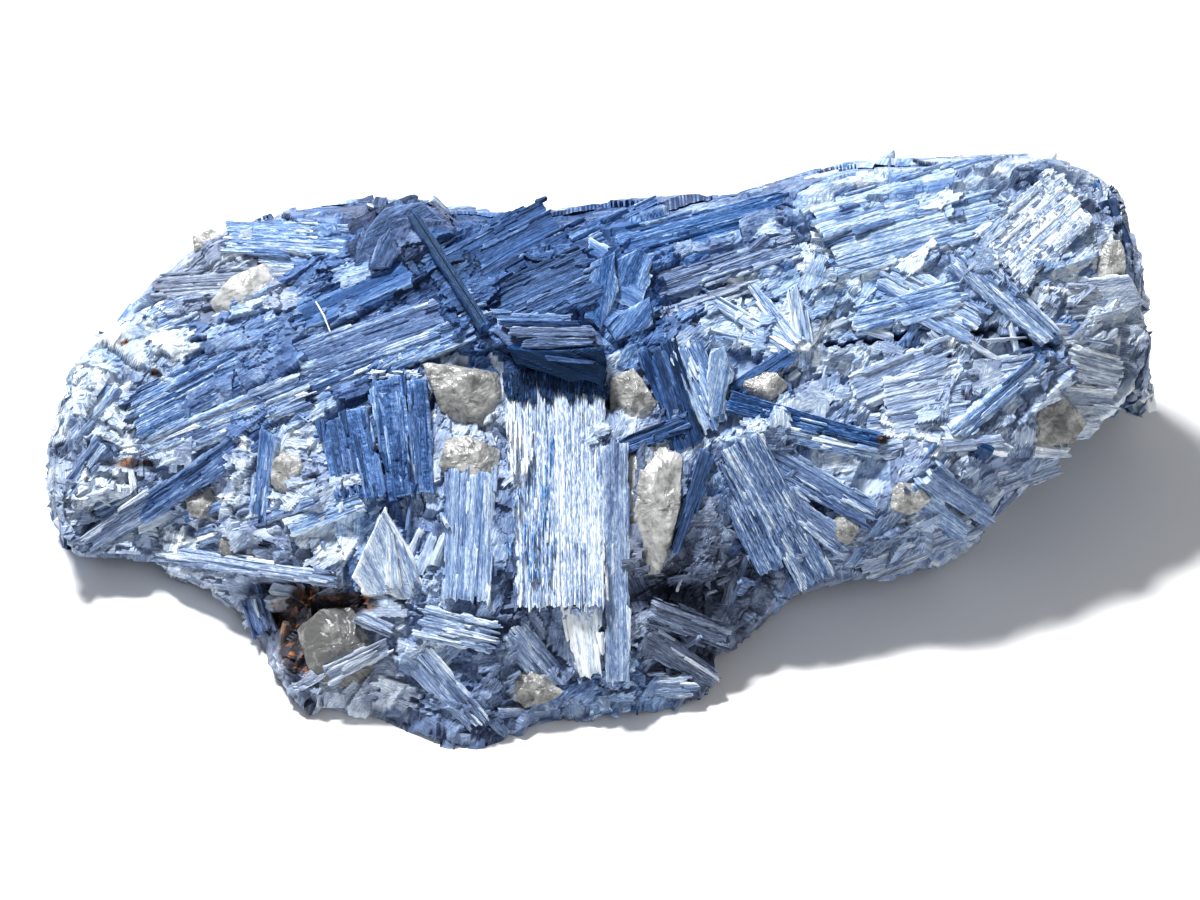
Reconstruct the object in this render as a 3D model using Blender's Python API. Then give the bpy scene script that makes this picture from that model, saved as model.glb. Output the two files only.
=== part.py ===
"""Kyanite blade cluster: a hand specimen of intergrown kyanite blades with grains of quartz between them.

The blades have grown through each other and share one mass of finer blades, so the kyanite is one solid.
Each quartz grain is a second mineral that fills a gap between blades, and is a solid of its own in a
socket that fits it.

Row frame: +X to the right of the show side, +Y to the back, +Z up, origin on the flat resting face.
The show side looks forwards and up, so places on it are given as (across, up) on a leaning plane.
"""

import math
import random

import bmesh
import bpy
import numpy as np
from mathutils import Matrix, Vector
from mathutils.bvhtree import BVHTree

# ---------------------------------------------------------------- driving dimensions, in millimetres
MM = 0.001
SHOW_TILT = math.radians(42)
SHOW_CENTRE = Vector((0, -33, 37))
RIGHT = Vector((1, 0, 0))
RISE = Vector((0, math.sin(SHOW_TILT), math.cos(SHOW_TILT)))
OUT = Vector((0, -math.cos(SHOW_TILT), math.sin(SHOW_TILT)))
FLOOR_SIZE = 400

ROUGHNESS = 1.1  # shift of each corner of the mass
STAND_OUT = 0.6  # share of a row's stand-out that shows above the mass
LATH_WIDTH = 6  # a blade has about one lath for each such width
LATH_STEP = 0.9  # most that one lath's face lies below its neighbour's
BREAK = 2.2  # most that a broken end falls short
UNDERSIDE = 0.42  # half width of a blade's hidden side, as a share of its width
CUT_BACK = 0.3  # how far a tip's underside falls short, as a share of the thickness
GRAIN_GAP = 0.3  # between a quartz grain and its socket
BLADE_SEED = 2
MASS_SEED = 11
FLAT_ANGLE = math.radians(0.1)  # faces this near to one plane are made one face

# One cross-section of the mass per row, from the left end to the right end:
# place along X, crest and toe as seen on the show plane, crest and toe heights,
# how far the keel of the show side stands out, where it lies between toe and crest, and the back's reach.
SECTIONS = [
    (-111.5, 1, -9, 26, 20, 1, 0.5, -10),
    (-107.5, 15, -20, 32, 12, 4, 0.5, 0),
    (-101, 23, -21, 39, 8, 7, 0.5, 12),
    (-90, 34, -23, 46, 6, 8, 0.45, 26),
    (-80, 41, -27, 52, 5, 9, 0.42, 36),
    (-70, 45, -35, 56, 4, 10, 0.4, 42),
    (-61, 45, -48, 57, 3, 10, 0.38, 47),
    (-50, 44, -50, 58, 3, 11, 0.4, 52),
    (-38, 43, -53, 60, 3, 11, 0.4, 53),
    (-26, 42, -57, 61, 2, 10, 0.38, 50),
    (-12, 40, -53, 61, 2, 9, 0.36, 53),
    (4, 40, -51, 61, 2, 9, 0.36, 56),
    (18, 42, -48.5, 63, 3, 9, 0.34, 55),
    (27, 44, -40, 64, 5, 10, 0.3, 54),
    (38, 46, -29.5, 68, 9, 11, 0.2, 57),
    (50, 51, -25.5, 70, 11, 11, 0.12, 58),
    (62, 52, -24, 71, 12, 12, 0.16, 55),
    (73, 54, -19.5, 72, 15, 14, 0.24, 52),
    (84, 57, -9, 72, 21, 14, 0.32, 45),
    (94, 57, 0, 70, 28, 11, 0.36, 38),
    (104, 53, 7, 64, 34, 7, 0.4, 28),
    (111, 37, 21, 52, 42, 2, 0.5, 10),
]



def show_point(across, up, out=0.0):
    """Row-frame point of a place on the show plane, `out` millimetres in front of it."""
    return SHOW_CENTRE + RIGHT * across + RISE * up + OUT * out


def on_height(across, up, height):
    """Row-frame point that lies at this height and shows at (across, up)."""
    start = show_point(across, up)
    return start + OUT * ((height - start.z) / OUT.z)


def spread(chance, size):
    """A small shift, up to `size` each way along each axis."""
    return Vector([chance.uniform(-size, size) for _ in range(3)])


# ---------------------------------------------------------------- the mass
def section_ring(row):
    """Closed ring of twelve points round one cross-section: toe, keel, shoulder, crest, back, underside."""
    across, crest_up, toe_up, crest_height, toe_height, keel_out, keel_at, back = row
    toe = on_height(across, toe_up, toe_height)
    crest = on_height(across, crest_up, crest_height)

    def on_front(share, bulge):
        return toe.lerp(crest, share) + OUT * bulge

    front = [
        toe,
        on_front(keel_at * 0.55, keel_out * 0.72),
        on_front(keel_at, keel_out),
        on_front(keel_at + (1 - keel_at) * 0.36, keel_out * 0.86),
        on_front(keel_at + (1 - keel_at) * 0.72, keel_out * 0.5),
        crest,
    ]
    behind = []
    for degrees in (28, 52, 74):
        angle = math.radians(degrees)
        reach = crest.y + (back - crest.y) * math.sin(angle)
        behind.append(Vector((across, reach, crest.z * math.cos(angle) ** 1.45)))
    floor = max(0.0, toe_height - 12) * 0.8
    under = [
        Vector((across, back - 4, floor)),
        Vector((across, (back + toe.y) / 2, floor - 1.5)),
        Vector((across, toe.y + 1.15 * (toe_height - floor) + 2, floor)),
    ]
    return front + behind + under


def rock_mass():
    """The mass as a loft through the sections, its corners shifted a little so that it has uneven facets."""
    chance = random.Random(MASS_SEED)
    mass = bmesh.new()
    rings = []
    for row in SECTIONS:
        ring = []
        for point in section_ring(row):
            ring.append(mass.verts.new(point + spread(chance, ROUGHNESS)))
        rings.append(ring)
    for left, right in zip(rings, rings[1:]):
        for i in range(len(left)):
            j = (i + 1) % len(left)
            a, b, c, d = left[i], left[j], right[j], right[i]
            if (a.co - c.co).length < (b.co - d.co).length:
                mass.faces.new((a, b, c))
                mass.faces.new((a, c, d))
            else:
                mass.faces.new((a, b, d))
                mass.faces.new((b, c, d))
    mass.faces.new(rings[0][::-1])
    mass.faces.new(rings[-1])
    bmesh.ops.triangulate(mass, faces=[f for f in mass.faces if len(f.verts) > 3])
    bmesh.ops.recalc_face_normals(mass, faces=mass.faces)
    return mass


# ---------------------------------------------------------------- blades
# Each row is one blade of the show side: root (across, up), tip (across, up), width at the root and the tip,
# thickness, how far its face stands out at the root and at the tip, roll about its own length in degrees.
CREST = [
    (-32, 30, -8, 45, 17, 15, 9, 5, 9, 0),
    (-23, 31, -68, 15, 9, 7, 9, 8, 4, 0),
    (-37, 38, -68, 23, 7, 5, 7, 6, 3, 14),
    (-26, 25, -60, 11, 6, 5.3, 7, 6, 3, -10),
    (-22, 26, -5, 26, 4, 3.5, 6, 9, 8, 0),
    (-5, 40, 10, 31, 10, 8.8, 6, 6, 5, 10),
    (-4, 30, 11, 25, 7, 6.2, 6, 6, 4, -12),
    (-38, 48, -23, 25, 2.6, 2.3, 8, 10, 9, 0),
]
LEFT_ARM = [
    (-66, 21, -97, 5, 12, 9, 7, 4, 1, 0),
    (-60, 12, -93, 0, 8, 7, 6, 4, 2, -8),
    (-67, 5, -95, -14, 6, 5.3, 6, 4, 2, 0),
    (-90, -10, -105, -20, 6, 3.5, 7, 2, 1, 0),
    (-50, 44, -77, 45, 7, 6.2, 7, 2, 3, 0),
    (-54, 37, -72, 40, 5, 4.4, 5, 2, 2, 0),
    (-47, 40, -60, 37, 5, 4.4, 5, 5, 4, 20),
    (-60, 34, -89, 32, 6, 5.3, 5, 2, 1, 0),
    (-75, 25, -96, 18, 6, 5.3, 5, 2, 1, 0),
    (-80, 31, -98, 24, 6, 5.3, 5, 1, 1, 0),
    (-98, 14, -108, 2, 5, 4.4, 6, 1, 0, 0),
    (-100, 2, -109, -9, 6, 3, 6, 1, 0, 0),
    (-84, -4, -103, -14, 6, 5.3, 5, 1, 1, 0),
]
SILVER = [
    (-9, 16, -8, -32, 20.5, 18, 9, 3, 7, 0),
    (3, 2, 3.5, -47, 6, 5.3, 9, 6, 6, 0),
    (-3, -32, 0, -46, 5, 3, 7, 5, 5, 15),
    (-26, -3, -27, -31, 11, 9.7, 7, 3, 4, 0),
]
CROSS_RIBBED = [
    (-50, 9, -45, -10, 5.6, 4.9, 6, 4, 4, 0),
    (-43, 15, -40, -10, 7, 6.2, 7, 6, 5, 0),
    (-37, 15, -35, -9, 5, 4.4, 6, 5, 4, 0),
    (-56, 7, -52, -9, 4.5, 4, 6, 3, 3, 0),
]
CROSSED_SMALL = [
    (-67, 5, -69, -15, 4.4, 3.9, 6, 6, 5, 0),
    (-82, -18, -57, -10, 4, 3, 5, 3, 4, 0),
    (-64, -16, -47, -10, 4.6, 3.2, 5, 4, 7, 0),
    (-85, -14, -70, -9, 3, 1.5, 5, 2, 3, 0),
    (-96, -20, -53, -26, 4, 3.5, 6, 4, 5, -20),
    (-72, -26, -68, -38, 6, 5.3, 6, 2, 1, 0),
]
FAN = [
    (11, 22, 18, 0, 8, 6, 8, 6, 4, 8),
    (17, 22, 24, 4, 8, 7, 8, 7, 4, 0),
    (24, 21, 23, 6, 3.6, 2, 7, 8, 5, 0),
    (18, 6, 2, 0, 4.5, 3, 6, 7, 7, 0),
    (22, 0, 15, -21, 4, 1.6, 6, 5, 3, 0),
    (28, 2, 44, -27, 9, 7, 9, 5, 8, 0),
    (24, -2, 35, -25, 8, 6, 8, 4, 6, 10),
    (25, 10, 57, 2, 5, 2.5, 7, 5, 3, 0),
    (28, 5, 57, -1, 4.5, 2, 6, 4, 3, 0),
    (26, 11, 39, 20, 4.5, 3, 6, 5, 4, 0),
    (34, -1, 56, -14, 7, 6.2, 6, 3, 3, 0),
    (31, -5, 50, -20, 6, 5.3, 6, 3, 4, 0),
]
TOP_MIDDLE = [
    (-6, 40, 12, 51, 6, 2.5, 8, 2, 3, 0),
    (4, 38, 39, 49, 9, 6.5, 8, 4, 3, 0),
    (10, 32, 40, 42, 6, 5.3, 6, 3, 2, 0),
    (12, 27, 33, 34, 4, 2.5, 5, 2, 2, 0),
    (40, 20, 20, 32, 4, 2, 5, 3, 2, 0),
    (40, 20, 17, 25, 4, 2, 5, 3, 3, 0),
    (40, 21, 30, 34, 4, 2, 5, 3, 2, 0),
    (41, 21, 39, 34, 4, 2, 5, 2, 2, 0),
]
RIGHT_BLOCK = [
    (42, 46, 80, 57, 9, 7.9, 8, 2, 2, 0),
    (46, 39, 82, 49, 10, 8.8, 7, 3, 2, 0),
    (80, 38, 96, 52, 16, 14.1, 9, 3, 3, 0),
    (72, 40, 92, 22, 8, 6, 8, 4, 5, 0),
    (56, 36, 77, 24, 10, 8.8, 7, 3, 3, 0),
    (50, 26, 74, 32, 7, 6.2, 6, 1, 2, 0),
    (100, 55, 103, 41, 4, 2, 6, 1, 1, 0),
    (103, 51, 108, 40, 5, 3, 7, 0, 0, 0),
    (94, 30, 110, 31, 8, 5, 9, 1, 0, 0),
    (92, 23, 105, 25, 5, 4.4, 7, 0, 0, 0),
]
LOWER_RIGHT = [
    (50, 11, 72, 20, 9, 7.9, 7, 3, 2, 0),
    (56, 10, 88, 17, 9, 7.9, 7, 2, 3, 0),
    (52, 2, 76, 6, 10, 8.8, 7, 3, 2, 0),
    (90, 18, 71, 2, 5, 4.4, 8, 4, 4, -15),
    (69, 0, 50, -24, 5, 3, 8, 3, 3, -15),
    (66, -5, 80, -15, 7, 4, 8, 3, 4, 0),
    (61, -8, 75, -18, 7, 4, 7, 3, 4, 0),
    (52, -25, 77, -15, 7, 6.2, 7, 2, 2, 0),
    (94, 18, 107, 15, 8, 7, 9, 1, 0, 0),
    (92, 11, 106, 10, 6, 5.3, 8, 1, 0, 0),
    (90, 4, 102, 4, 6, 5.3, 7, 1, 0, 0),
    (80, -7, 94, -2, 6, 5.3, 6, 1, 0, 0),
]
FOOT = [
    (-40, -38, -24, -56, 8, 5, 7, 2, 1, 0),
    (-26, -49, -18, -58, 5, 2.5, 6, 2, 1, 0),
    (-60, -40, -44, -48, 10, 8.8, 7, 3, 1, 0),
    (-38, -34, -20, -38, 8, 7, 7, 4, 5, 0),
    (-8, -48, 20, -48, 6, 5.3, 7, 2, 1, 0),
    (8, -37, 24, -47, 8, 4, 7, 4, 1, 0),
    (10, -32, 27, -38, 6, 5.3, 6, 4, 2, 0),
    (-18, -36, -8, -48, 8, 7, 7, 4, 2, 0),
    (28, -28, 40, -30, 5, 2.5, 6, 2, 2, 0),
]
SHOW_BLADES = (
    CREST + LEFT_ARM + SILVER + CROSS_RIBBED + CROSSED_SMALL
    + FAN + TOP_MIDDLE + RIGHT_BLOCK + LOWER_RIGHT + FOOT
)


def face_outwards(solid):
    """Turns all the faces of a closed mesh to point out of it."""
    bmesh.ops.recalc_face_normals(solid, faces=solid.faces)
    if solid.calc_volume(signed=True) < 0:
        bmesh.ops.reverse_faces(solid, faces=solid.faces)


def prism(front, back):
    """Closed mesh between two outlines with the same number of corners."""
    solid = bmesh.new()
    front = [solid.verts.new(point) for point in front]
    back = [solid.verts.new(point) for point in back]
    for i in range(len(front)):
        j = (i + 1) % len(front)
        solid.faces.new((front[i], front[j], back[j], back[i]))
    solid.faces.new(front[::-1])
    solid.faces.new(back)
    bmesh.ops.triangulate(solid, faces=solid.faces)
    face_outwards(solid)
    return solid


def blade_section(width, thick, chance):
    """Cross-section of a blade: one flat tread per lath on the outer side, narrower underneath."""
    laths = max(1, round(width / LATH_WIDTH))
    edges = np.cumsum([0] + [chance.uniform(0.6, 1.4) for _ in range(laths)])
    edges = edges / edges[-1] - 0.5
    section = []
    for left, right in zip(edges, edges[1:]):
        tread = chance.uniform(-LATH_STEP, LATH_STEP * 0.5) if laths > 1 else 0.0
        section += [(left, tread), (right, tread + chance.uniform(-0.3, 0.3))]
    return section + [(UNDERSIDE, -thick), (-UNDERSIDE, -thick)]


def blade(root, tip, outward, widths, thick, chance):
    """One flat blade between two points, its broad face turned `outward`.

    Every corner of the section ends at its own place along the blade, so both ends are broken off
    at a slant, and the underside is cut back at the tip.
    """
    along = (tip - root).normalized()
    outward = (outward - along * outward.dot(along)).normalized()
    side = outward.cross(along)
    near, far = [], []
    for share, height in blade_section(max(widths), thick, chance):
        reach = chance.uniform(-BREAK, BREAK / 4) - (CUT_BACK * thick if height == -thick else 0.0)
        near.append(root + side * (share * widths[0]) + outward * height - along * (abs(reach) / 2))
        far.append(tip + side * (share * widths[1]) + outward * height + along * reach)
    return prism(near, far)


def depth_on(tree, across, up):
    """How far out the mass lies behind a place on the show plane, or its nearest edge beside it."""
    hit = tree.ray_cast(show_point(across, up, 150), -OUT)[0]
    if hit is None:
        hit = tree.find_nearest(show_point(across, up, 0))[0]
        hit = tree.find_nearest(show_point(across, up, (hit - SHOW_CENTRE).dot(OUT)))[0]
    return (hit - SHOW_CENTRE).dot(OUT)


def laid_line(tree, across_1, up_1, across_2, up_2):
    """Depths at the two ends of a straight line that lies on the mass, by least squares."""
    shares = np.linspace(0.1, 0.9, 9)
    depths = [
        depth_on(tree, across_1 + (across_2 - across_1) * share, up_1 + (up_2 - up_1) * share)
        for share in shares
    ]
    slope, start = np.polyfit(shares, depths, 1)
    return start, start + slope


def show_blades(tree, chance):
    """The blades of the show side, each a closed mesh."""
    solids = []
    for row in SHOW_BLADES:
        across_1, up_1, across_2, up_2, width_1, width_2, thick, out_1, out_2, roll = row
        depth_1, depth_2 = laid_line(tree, across_1, up_1, across_2, up_2)
        root = show_point(across_1, up_1, depth_1 + out_1 * STAND_OUT)
        tip = show_point(across_2, up_2, depth_2 + out_2 * STAND_OUT)
        turn = Matrix.Rotation(math.radians(roll), 3, (tip - root).normalized())
        solids.append(blade(root, tip, turn @ OUT, (width_1, width_2), thick, chance))
    return solids


# ---------------------------------------------------------------- blades of the back and the ends
# Each row is a bundle of parallel blades: place along X, then the direction it is seen from (azimuth from +X,
# rise above the level), half length, heading from the horizontal, width and thickness of a blade,
# how far it stands out, and how many lie side by side.
BACK_AXIS = (8, 26)
BACK_BUNDLES = [
    (-72, 92, 6, 17, 8, 8, 6, 1.5, 2),
    (-60, 92, 38, 14, -14, 8, 6, 1.2, 2),
    (-46, 90, -14, 18, 5, 9, 6, 1.2, 1),
    (-34, 90, 14, 21, -6, 10, 7, 1.8, 2),
    (-27, 90, 46, 18, 12, 8, 6, 0.7, 2),
    (0, 90, -4, 17, 10, 12, 7, 2, 2),
    (10, 90, 30, 22, -9, 11, 7, 1.6, 2),
    (20, 90, 56, 15, 5, 8, 6, 0.3, 1),
    (34, 90, -14, 17, -7, 9, 6, 1.2, 1),
    (40, 88, 12, 19, 4, 9, 7, 1.8, 2),
    (50, 90, 30, 16, -8, 8, 6, 0.6, 2),
    (74, 80, 4, 14, 12, 9, 6, 1.6, 2),
    (78, 74, 36, 13, -6, 8, 6, 0.8, 2),
    (84, 28, 6, 12, 58, 8, 6, 1.4, 2),
    (80, 4, 24, 11, 72, 8, 6, 1.2, 2),
    (80, -28, -2, 11, 48, 7, 6, 1.2, 1),
    (-84, 146, 20, 11, 64, 8, 6, 1.2, 2),
    (-80, 182, 2, 8, 38, 7, 5, 1, 1),
]


def back_blades(tree, chance):
    """Bundles of blades that lie on the back and the ends, each found by looking in at its place."""
    solids = []
    for along_x, azimuth, rise, half, heading, width, thick, proud, count in BACK_BUNDLES:
        around, lift = math.radians(azimuth), math.radians(rise)
        level = math.cos(lift)
        seen_from = Vector((math.cos(around) * level, math.sin(around) * level, math.sin(lift)))
        place, normal, _, _ = tree.ray_cast(Vector((along_x, *BACK_AXIS)) + seen_from * 150, -seen_from)
        run = Vector((0, 0, 1)).cross(normal).normalized()
        run.rotate(Matrix.Rotation(math.radians(heading), 3, normal))
        side = normal.cross(run)
        for number in range(count):
            offset = (number - (count - 1) / 2) * width * 0.95
            middle = place + side * offset + run * (chance.uniform(-0.3, 0.3) * half)
            middle += normal * (proud * chance.uniform(0.6, 1.2))
            lean = normal * (chance.uniform(0.0, 0.08) * half)
            root, tip = middle - run * half - lean, middle + run * half - lean
            solids.append(blade(root, tip, normal, (width, width * 0.85), thick, chance))
    return solids


# ---------------------------------------------------------------- plates and lumps
# Broken plates with an outline of their own: thickness, then corners (across, up, out from the mass).
PLATES = [
    (4.5, [(-22, 24, 5), (-12, 27, 6), (-2, 26, 6), (1, 20, 8), (0, 13, 9), (-9, 14, 9), (-18, 17, 8)]),
    (5, [(-5, 30, 4), (-2, 38, 4), (3, 40, 4), (4, 31, 5), (0, 24, 6)]),
    (5, [(2, 38, 3), (8, 41, 3), (11, 38, 4), (8, 29, 5), (3, 28, 4)]),
    (4, [(0, 26, 4), (10, 31, 4), (11, 25, 5), (3, 22, 5)]),
    (6, [(-43, -11, 6), (-50, -26, 3), (-47, -30, 3), (-34, -29, 3), (-37, -21, 5)]),
    (5, [(22, 20, 6), (25, 21, 7), (27, 15, 6), (25, 7, 5), (22, 6, 5), (21, 14, 6)]),
    (7, [(50, 15, 2), (66, 15, 3), (64, 6, 4), (52, 7, 3)]),
    (6, [(96, 35, 2), (107, 36, 1), (110, 30, 0), (104, 26, 0), (95, 28, 1)]),
]

# Lumps of finer crystals: place (across, up, out), then half sizes across, up and out.
LUMPS = [
    (-40, 45, 2, 9, 6, 8),
    (-58, 41, -1, 9, 4, 6),
    (-97, -6, -1, 11, 9, 6),
    (-101, 10, -1, 7, 10, 6),
    (-20, -52, -1, 7, 4, 5),
    (3, -48, -1, 9, 4, 5),
    (33, 45, -1, 7, 4, 5),
    (100, 26, -1, 7, 6, 6),
    (86, -2, -1, 8, 6, 5),
]
LUMP_CORNERS = 16


def placed(tree, across, up, out):
    """Row-frame point at a place on the show plane, `out` millimetres in front of the mass there."""
    return show_point(across, up, depth_on(tree, across, up) + out)


def plates(tree):
    """Plates as prisms whose front corners stand at their own height above the mass."""
    solids = []
    for thick, corners in PLATES:
        middle = np.mean(corners, axis=0)
        depth = depth_on(tree, middle[0], middle[1])
        front = [show_point(across, up, depth + out) for across, up, out in corners]
        solids.append(prism(front, [point - OUT * thick for point in front]))
    return solids


def faceted_lump(centre, half_sizes, corners, chance):
    """Corners spread evenly over an ellipsoid, each pushed in or out a little, in one convex hull."""
    across, up, out = half_sizes
    lump = bmesh.new()
    for i in range(corners):
        level = 1 - 2 * (i + 0.5) / corners
        turn = i * math.pi * (3 - math.sqrt(5)) + chance.uniform(-0.35, 0.35)
        ring = math.sqrt(1 - level * level) * chance.uniform(0.75, 1.12)
        point = RIGHT * (across * ring * math.cos(turn)) + OUT * (out * ring * math.sin(turn))
        lump.verts.new(centre + point + RISE * (up * level))
    hull = bmesh.ops.convex_hull(lump, input=lump.verts)
    inside = {item for item in hull["geom_interior"] if isinstance(item, bmesh.types.BMVert)}
    bmesh.ops.delete(lump, geom=list(inside), context="VERTS")
    face_outwards(lump)
    return lump


def lumps(tree, chance):
    """The lumps of finer crystals, each a convex solid sunk into the mass."""
    solids = []
    for across, up, out, *half_sizes in LUMPS:
        solids.append(faceted_lump(placed(tree, across, up, out), half_sizes, LUMP_CORNERS, chance))
    return solids


# ---------------------------------------------------------------- quartz
# Each grain: name, place (across, up, out from the mass), half sizes across, up and out.
GRAINS = [
    ("quartz_top_left", -70, 31, -2.5, 9, 6.5, 6),
    ("quartz_corner", -77, 42, -3, 6, 4, 5),
    ("quartz_centre_high", -28.5, 11, -1, 8, 6.5, 6),
    ("quartz_centre_low", -26, -3, -1, 6.5, 5, 5),
    ("quartz_shelf", 6, 11, -0.5, 4.5, 5, 5),
    ("quartz_tall", 11, -12.5, -1, 6, 13, 6.5),
    ("quartz_arm_inner", -63, -5, -0.5, 4, 5.5, 4.5),
    ("quartz_arm_outer", -80, -11, -1, 4.5, 4, 4.5),
    ("quartz_arm_low", -73, -19, -1, 4.5, 3.4, 4.5),
    ("quartz_fan", 33, 13, -0.5, 5, 3.6, 4.5),
    ("quartz_right_low", 90, 6, -2, 8, 6.5, 6.5),
    ("quartz_keel", 62, -9.5, 0.5, 4.5, 3.4, 4.5),
    ("quartz_round", 49, -16, 0, 4, 3.6, 4),
    ("quartz_right_end", 103.5, 38, -0.5, 3.2, 5.5, 4.5),
    ("quartz_foot", -13, -48, -0.5, 5.5, 3.8, 5),
    ("quartz_lower_left", -51, -40, -2.5, 10, 8.5, 8),
]
GRAIN_CORNERS = 13


def grain(tree, row, chance):
    """One quartz grain as a convex lump, and the slightly larger solid that cuts its socket."""
    name, across, up, out, *half_sizes = row
    centre = placed(tree, across, up, out)
    lump = faceted_lump(centre, half_sizes, GRAIN_CORNERS, chance)
    nearest = min(abs((face.calc_center_median() - centre).dot(face.normal)) for face in lump.faces)
    socket = lump.copy()
    for vert in socket.verts:
        vert.co = centre + (vert.co - centre) * (1 + GRAIN_GAP / nearest)
    return name, lump, socket


# ---------------------------------------------------------------- cracks, hollows and the resting face
# The open crack's two lips, left to right: (across, upper lip, lower lip).
CRACK = [
    (41, 21, 20.4),
    (50, 22.4, 20.6),
    (60, 24.4, 21.4),
    (69, 26, 23),
    (80, 26, 23),
    (88, 22.6, 20.6),
    (93, 20.6, 20),
]
CRACK_DEPTH = 9
CRACK_REACH = 14
CRACK_END = 0.1
# Broken-out hollows: place (across, up, out), half sizes across, up and out.
HOLLOWS = [
    (-59, -34, 0, 7.5, 5.5, 8),
    (16, -30, 1, 8, 3.2, 7),
    (-24, -35.5, 1, 5, 2, 5),
    (-52, 28, 3, 4, 2, 5),
]


def crack(tree):
    """A wedge between the two lips, wide in front and closing to an edge inside."""
    depth = depth_on(tree, 68, 23)
    lips = [(across, upper) for across, upper, _ in CRACK]
    lips += [(across, lower) for across, _, lower in CRACK[::-1]]
    middle = [(across, (upper + lower) / 2) for across, upper, lower in CRACK]
    deep = [(across, up + CRACK_END) for across, up in middle]
    deep += [(across, up - CRACK_END) for across, up in middle[::-1]]
    front = [show_point(across, up, depth + CRACK_REACH) for across, up in lips]
    back = [show_point(across, up, depth - CRACK_DEPTH) for across, up in deep]
    return prism(front, back)


def below_floor():
    """Everything below the resting face, as one block."""
    block = bmesh.new()
    bmesh.ops.create_cube(block, size=FLOOR_SIZE)
    bmesh.ops.translate(block, vec=(0, 0, -FLOOR_SIZE / 2), verts=block.verts)
    return block


def cuts(tree, chance):
    """The crack, the hollows and the block under the floor."""
    solids = [crack(tree), below_floor()]
    for across, up, out, *half_sizes in HOLLOWS:
        solids.append(faceted_lump(placed(tree, across, up, out), half_sizes, LUMP_CORNERS, chance))
    return solids


# ---------------------------------------------------------------- objects
def mesh_object(name, solids):
    """Object with the solids' meshes, taken from millimetres to metres."""
    mesh = bpy.data.meshes.new(name)
    whole = bmesh.new()
    for solid in solids:
        part = bpy.data.meshes.new("part")
        solid.to_mesh(part)
        whole.from_mesh(part)
        bpy.data.meshes.remove(part)
    bmesh.ops.scale(whole, vec=(MM, MM, MM), verts=whole.verts)
    whole.to_mesh(mesh)
    thing = bpy.data.objects.new(name, mesh)
    bpy.context.collection.objects.link(thing)
    return thing


def guides(name, solids):
    """Collection of objects that only shape another one."""
    kept = bpy.data.collections.new(name)
    bpy.context.scene.collection.children.link(kept)
    for number, solid in enumerate(solids):
        guide = mesh_object(f"{name}_{number}", [solid])
        guide.hide_render = True
        guide.display_type = "WIRE"
        bpy.context.collection.objects.unlink(guide)
        kept.objects.link(guide)
    return kept


def shape(thing, operation, tools):
    """Joins the solids of a collection to the thing, or cuts them away.

    The solver is the manifold one: where this many blades cross, the exact one leaves edges with four faces.
    """
    boolean = thing.modifiers.new(operation.lower(), "BOOLEAN")
    boolean.operation = operation
    boolean.operand_type = "COLLECTION"
    boolean.collection = tools
    boolean.solver = "MANIFOLD"


def apply_modifiers(thing):
    """Keeps the evaluated mesh as the thing's own."""
    bpy.context.view_layer.update()
    shaped = thing.evaluated_get(bpy.context.evaluated_depsgraph_get())
    thing.data = bpy.data.meshes.new_from_object(shaped)
    thing.modifiers.clear()


def shells(solid):
    """The separate closed shells of a mesh, each a list of faces, largest first."""
    found = []
    left = set(solid.faces)
    while left:
        shell = [left.pop()]
        for face in shell:
            for edge in face.edges:
                for other in edge.link_faces:
                    if other in left:
                        left.remove(other)
                        shell.append(other)
        found.append(shell)
    return sorted(found, key=len, reverse=True)


def keep_outer_shell(thing):
    """Drops loose chips and sealed gaps between blades, which a crystal mass fills."""
    solid = bmesh.new()
    solid.from_mesh(thing.data)
    for shell in shells(solid)[1:]:
        bmesh.ops.delete(solid, geom=shell, context="FACES")
    loose = [vert for vert in solid.verts if not vert.link_faces]
    bmesh.ops.delete(solid, geom=loose, context="VERTS")
    bmesh.ops.dissolve_limit(solid, angle_limit=FLAT_ANGLE, verts=solid.verts, edges=solid.edges)
    bmesh.ops.triangulate(solid, faces=solid.faces)
    solid.to_mesh(thing.data)


def mineral(name, colour, roughness):
    """Principled material of one mineral."""
    material = bpy.data.materials.new(name)
    material.use_nodes = True
    shader = material.node_tree.nodes["Principled BSDF"]
    shader.inputs["Base Color"].default_value = (*colour, 1)
    shader.inputs["Roughness"].default_value = roughness
    shader.inputs["Metallic"].default_value = 0.0
    return material


def build():
    """The kyanite mass with its blades, cuts and sockets, and the quartz grains in them."""
    for old in list(bpy.data.objects):
        bpy.data.objects.remove(old)
    kyanite = mineral("kyanite", (0.2, 0.29, 0.47), 0.3)
    quartz = mineral("quartz", (0.66, 0.64, 0.6), 0.25)
    chance = random.Random(BLADE_SEED)
    rock = rock_mass()
    tree = BVHTree.FromBMesh(rock)
    mass = mesh_object("kyanite_mass", [rock])
    grown = show_blades(tree, chance) + back_blades(tree, chance) + plates(tree) + lumps(tree, chance)
    grains = [grain(tree, row, chance) for row in GRAINS]
    shape(mass, "UNION", guides("blade", grown))
    sockets = [socket for _, _, socket in grains]
    shape(mass, "DIFFERENCE", guides("cut", cuts(tree, chance) + sockets))
    apply_modifiers(mass)
    keep_outer_shell(mass)
    mass.data.materials.append(kyanite)
    for name, lump, _ in grains:
        mesh_object(name, [lump]).data.materials.append(quartz)


build()
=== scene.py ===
"""Looks of the kyanite blade cluster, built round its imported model.

Lengths are in millimetres until a mesh is made.
"""

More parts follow.
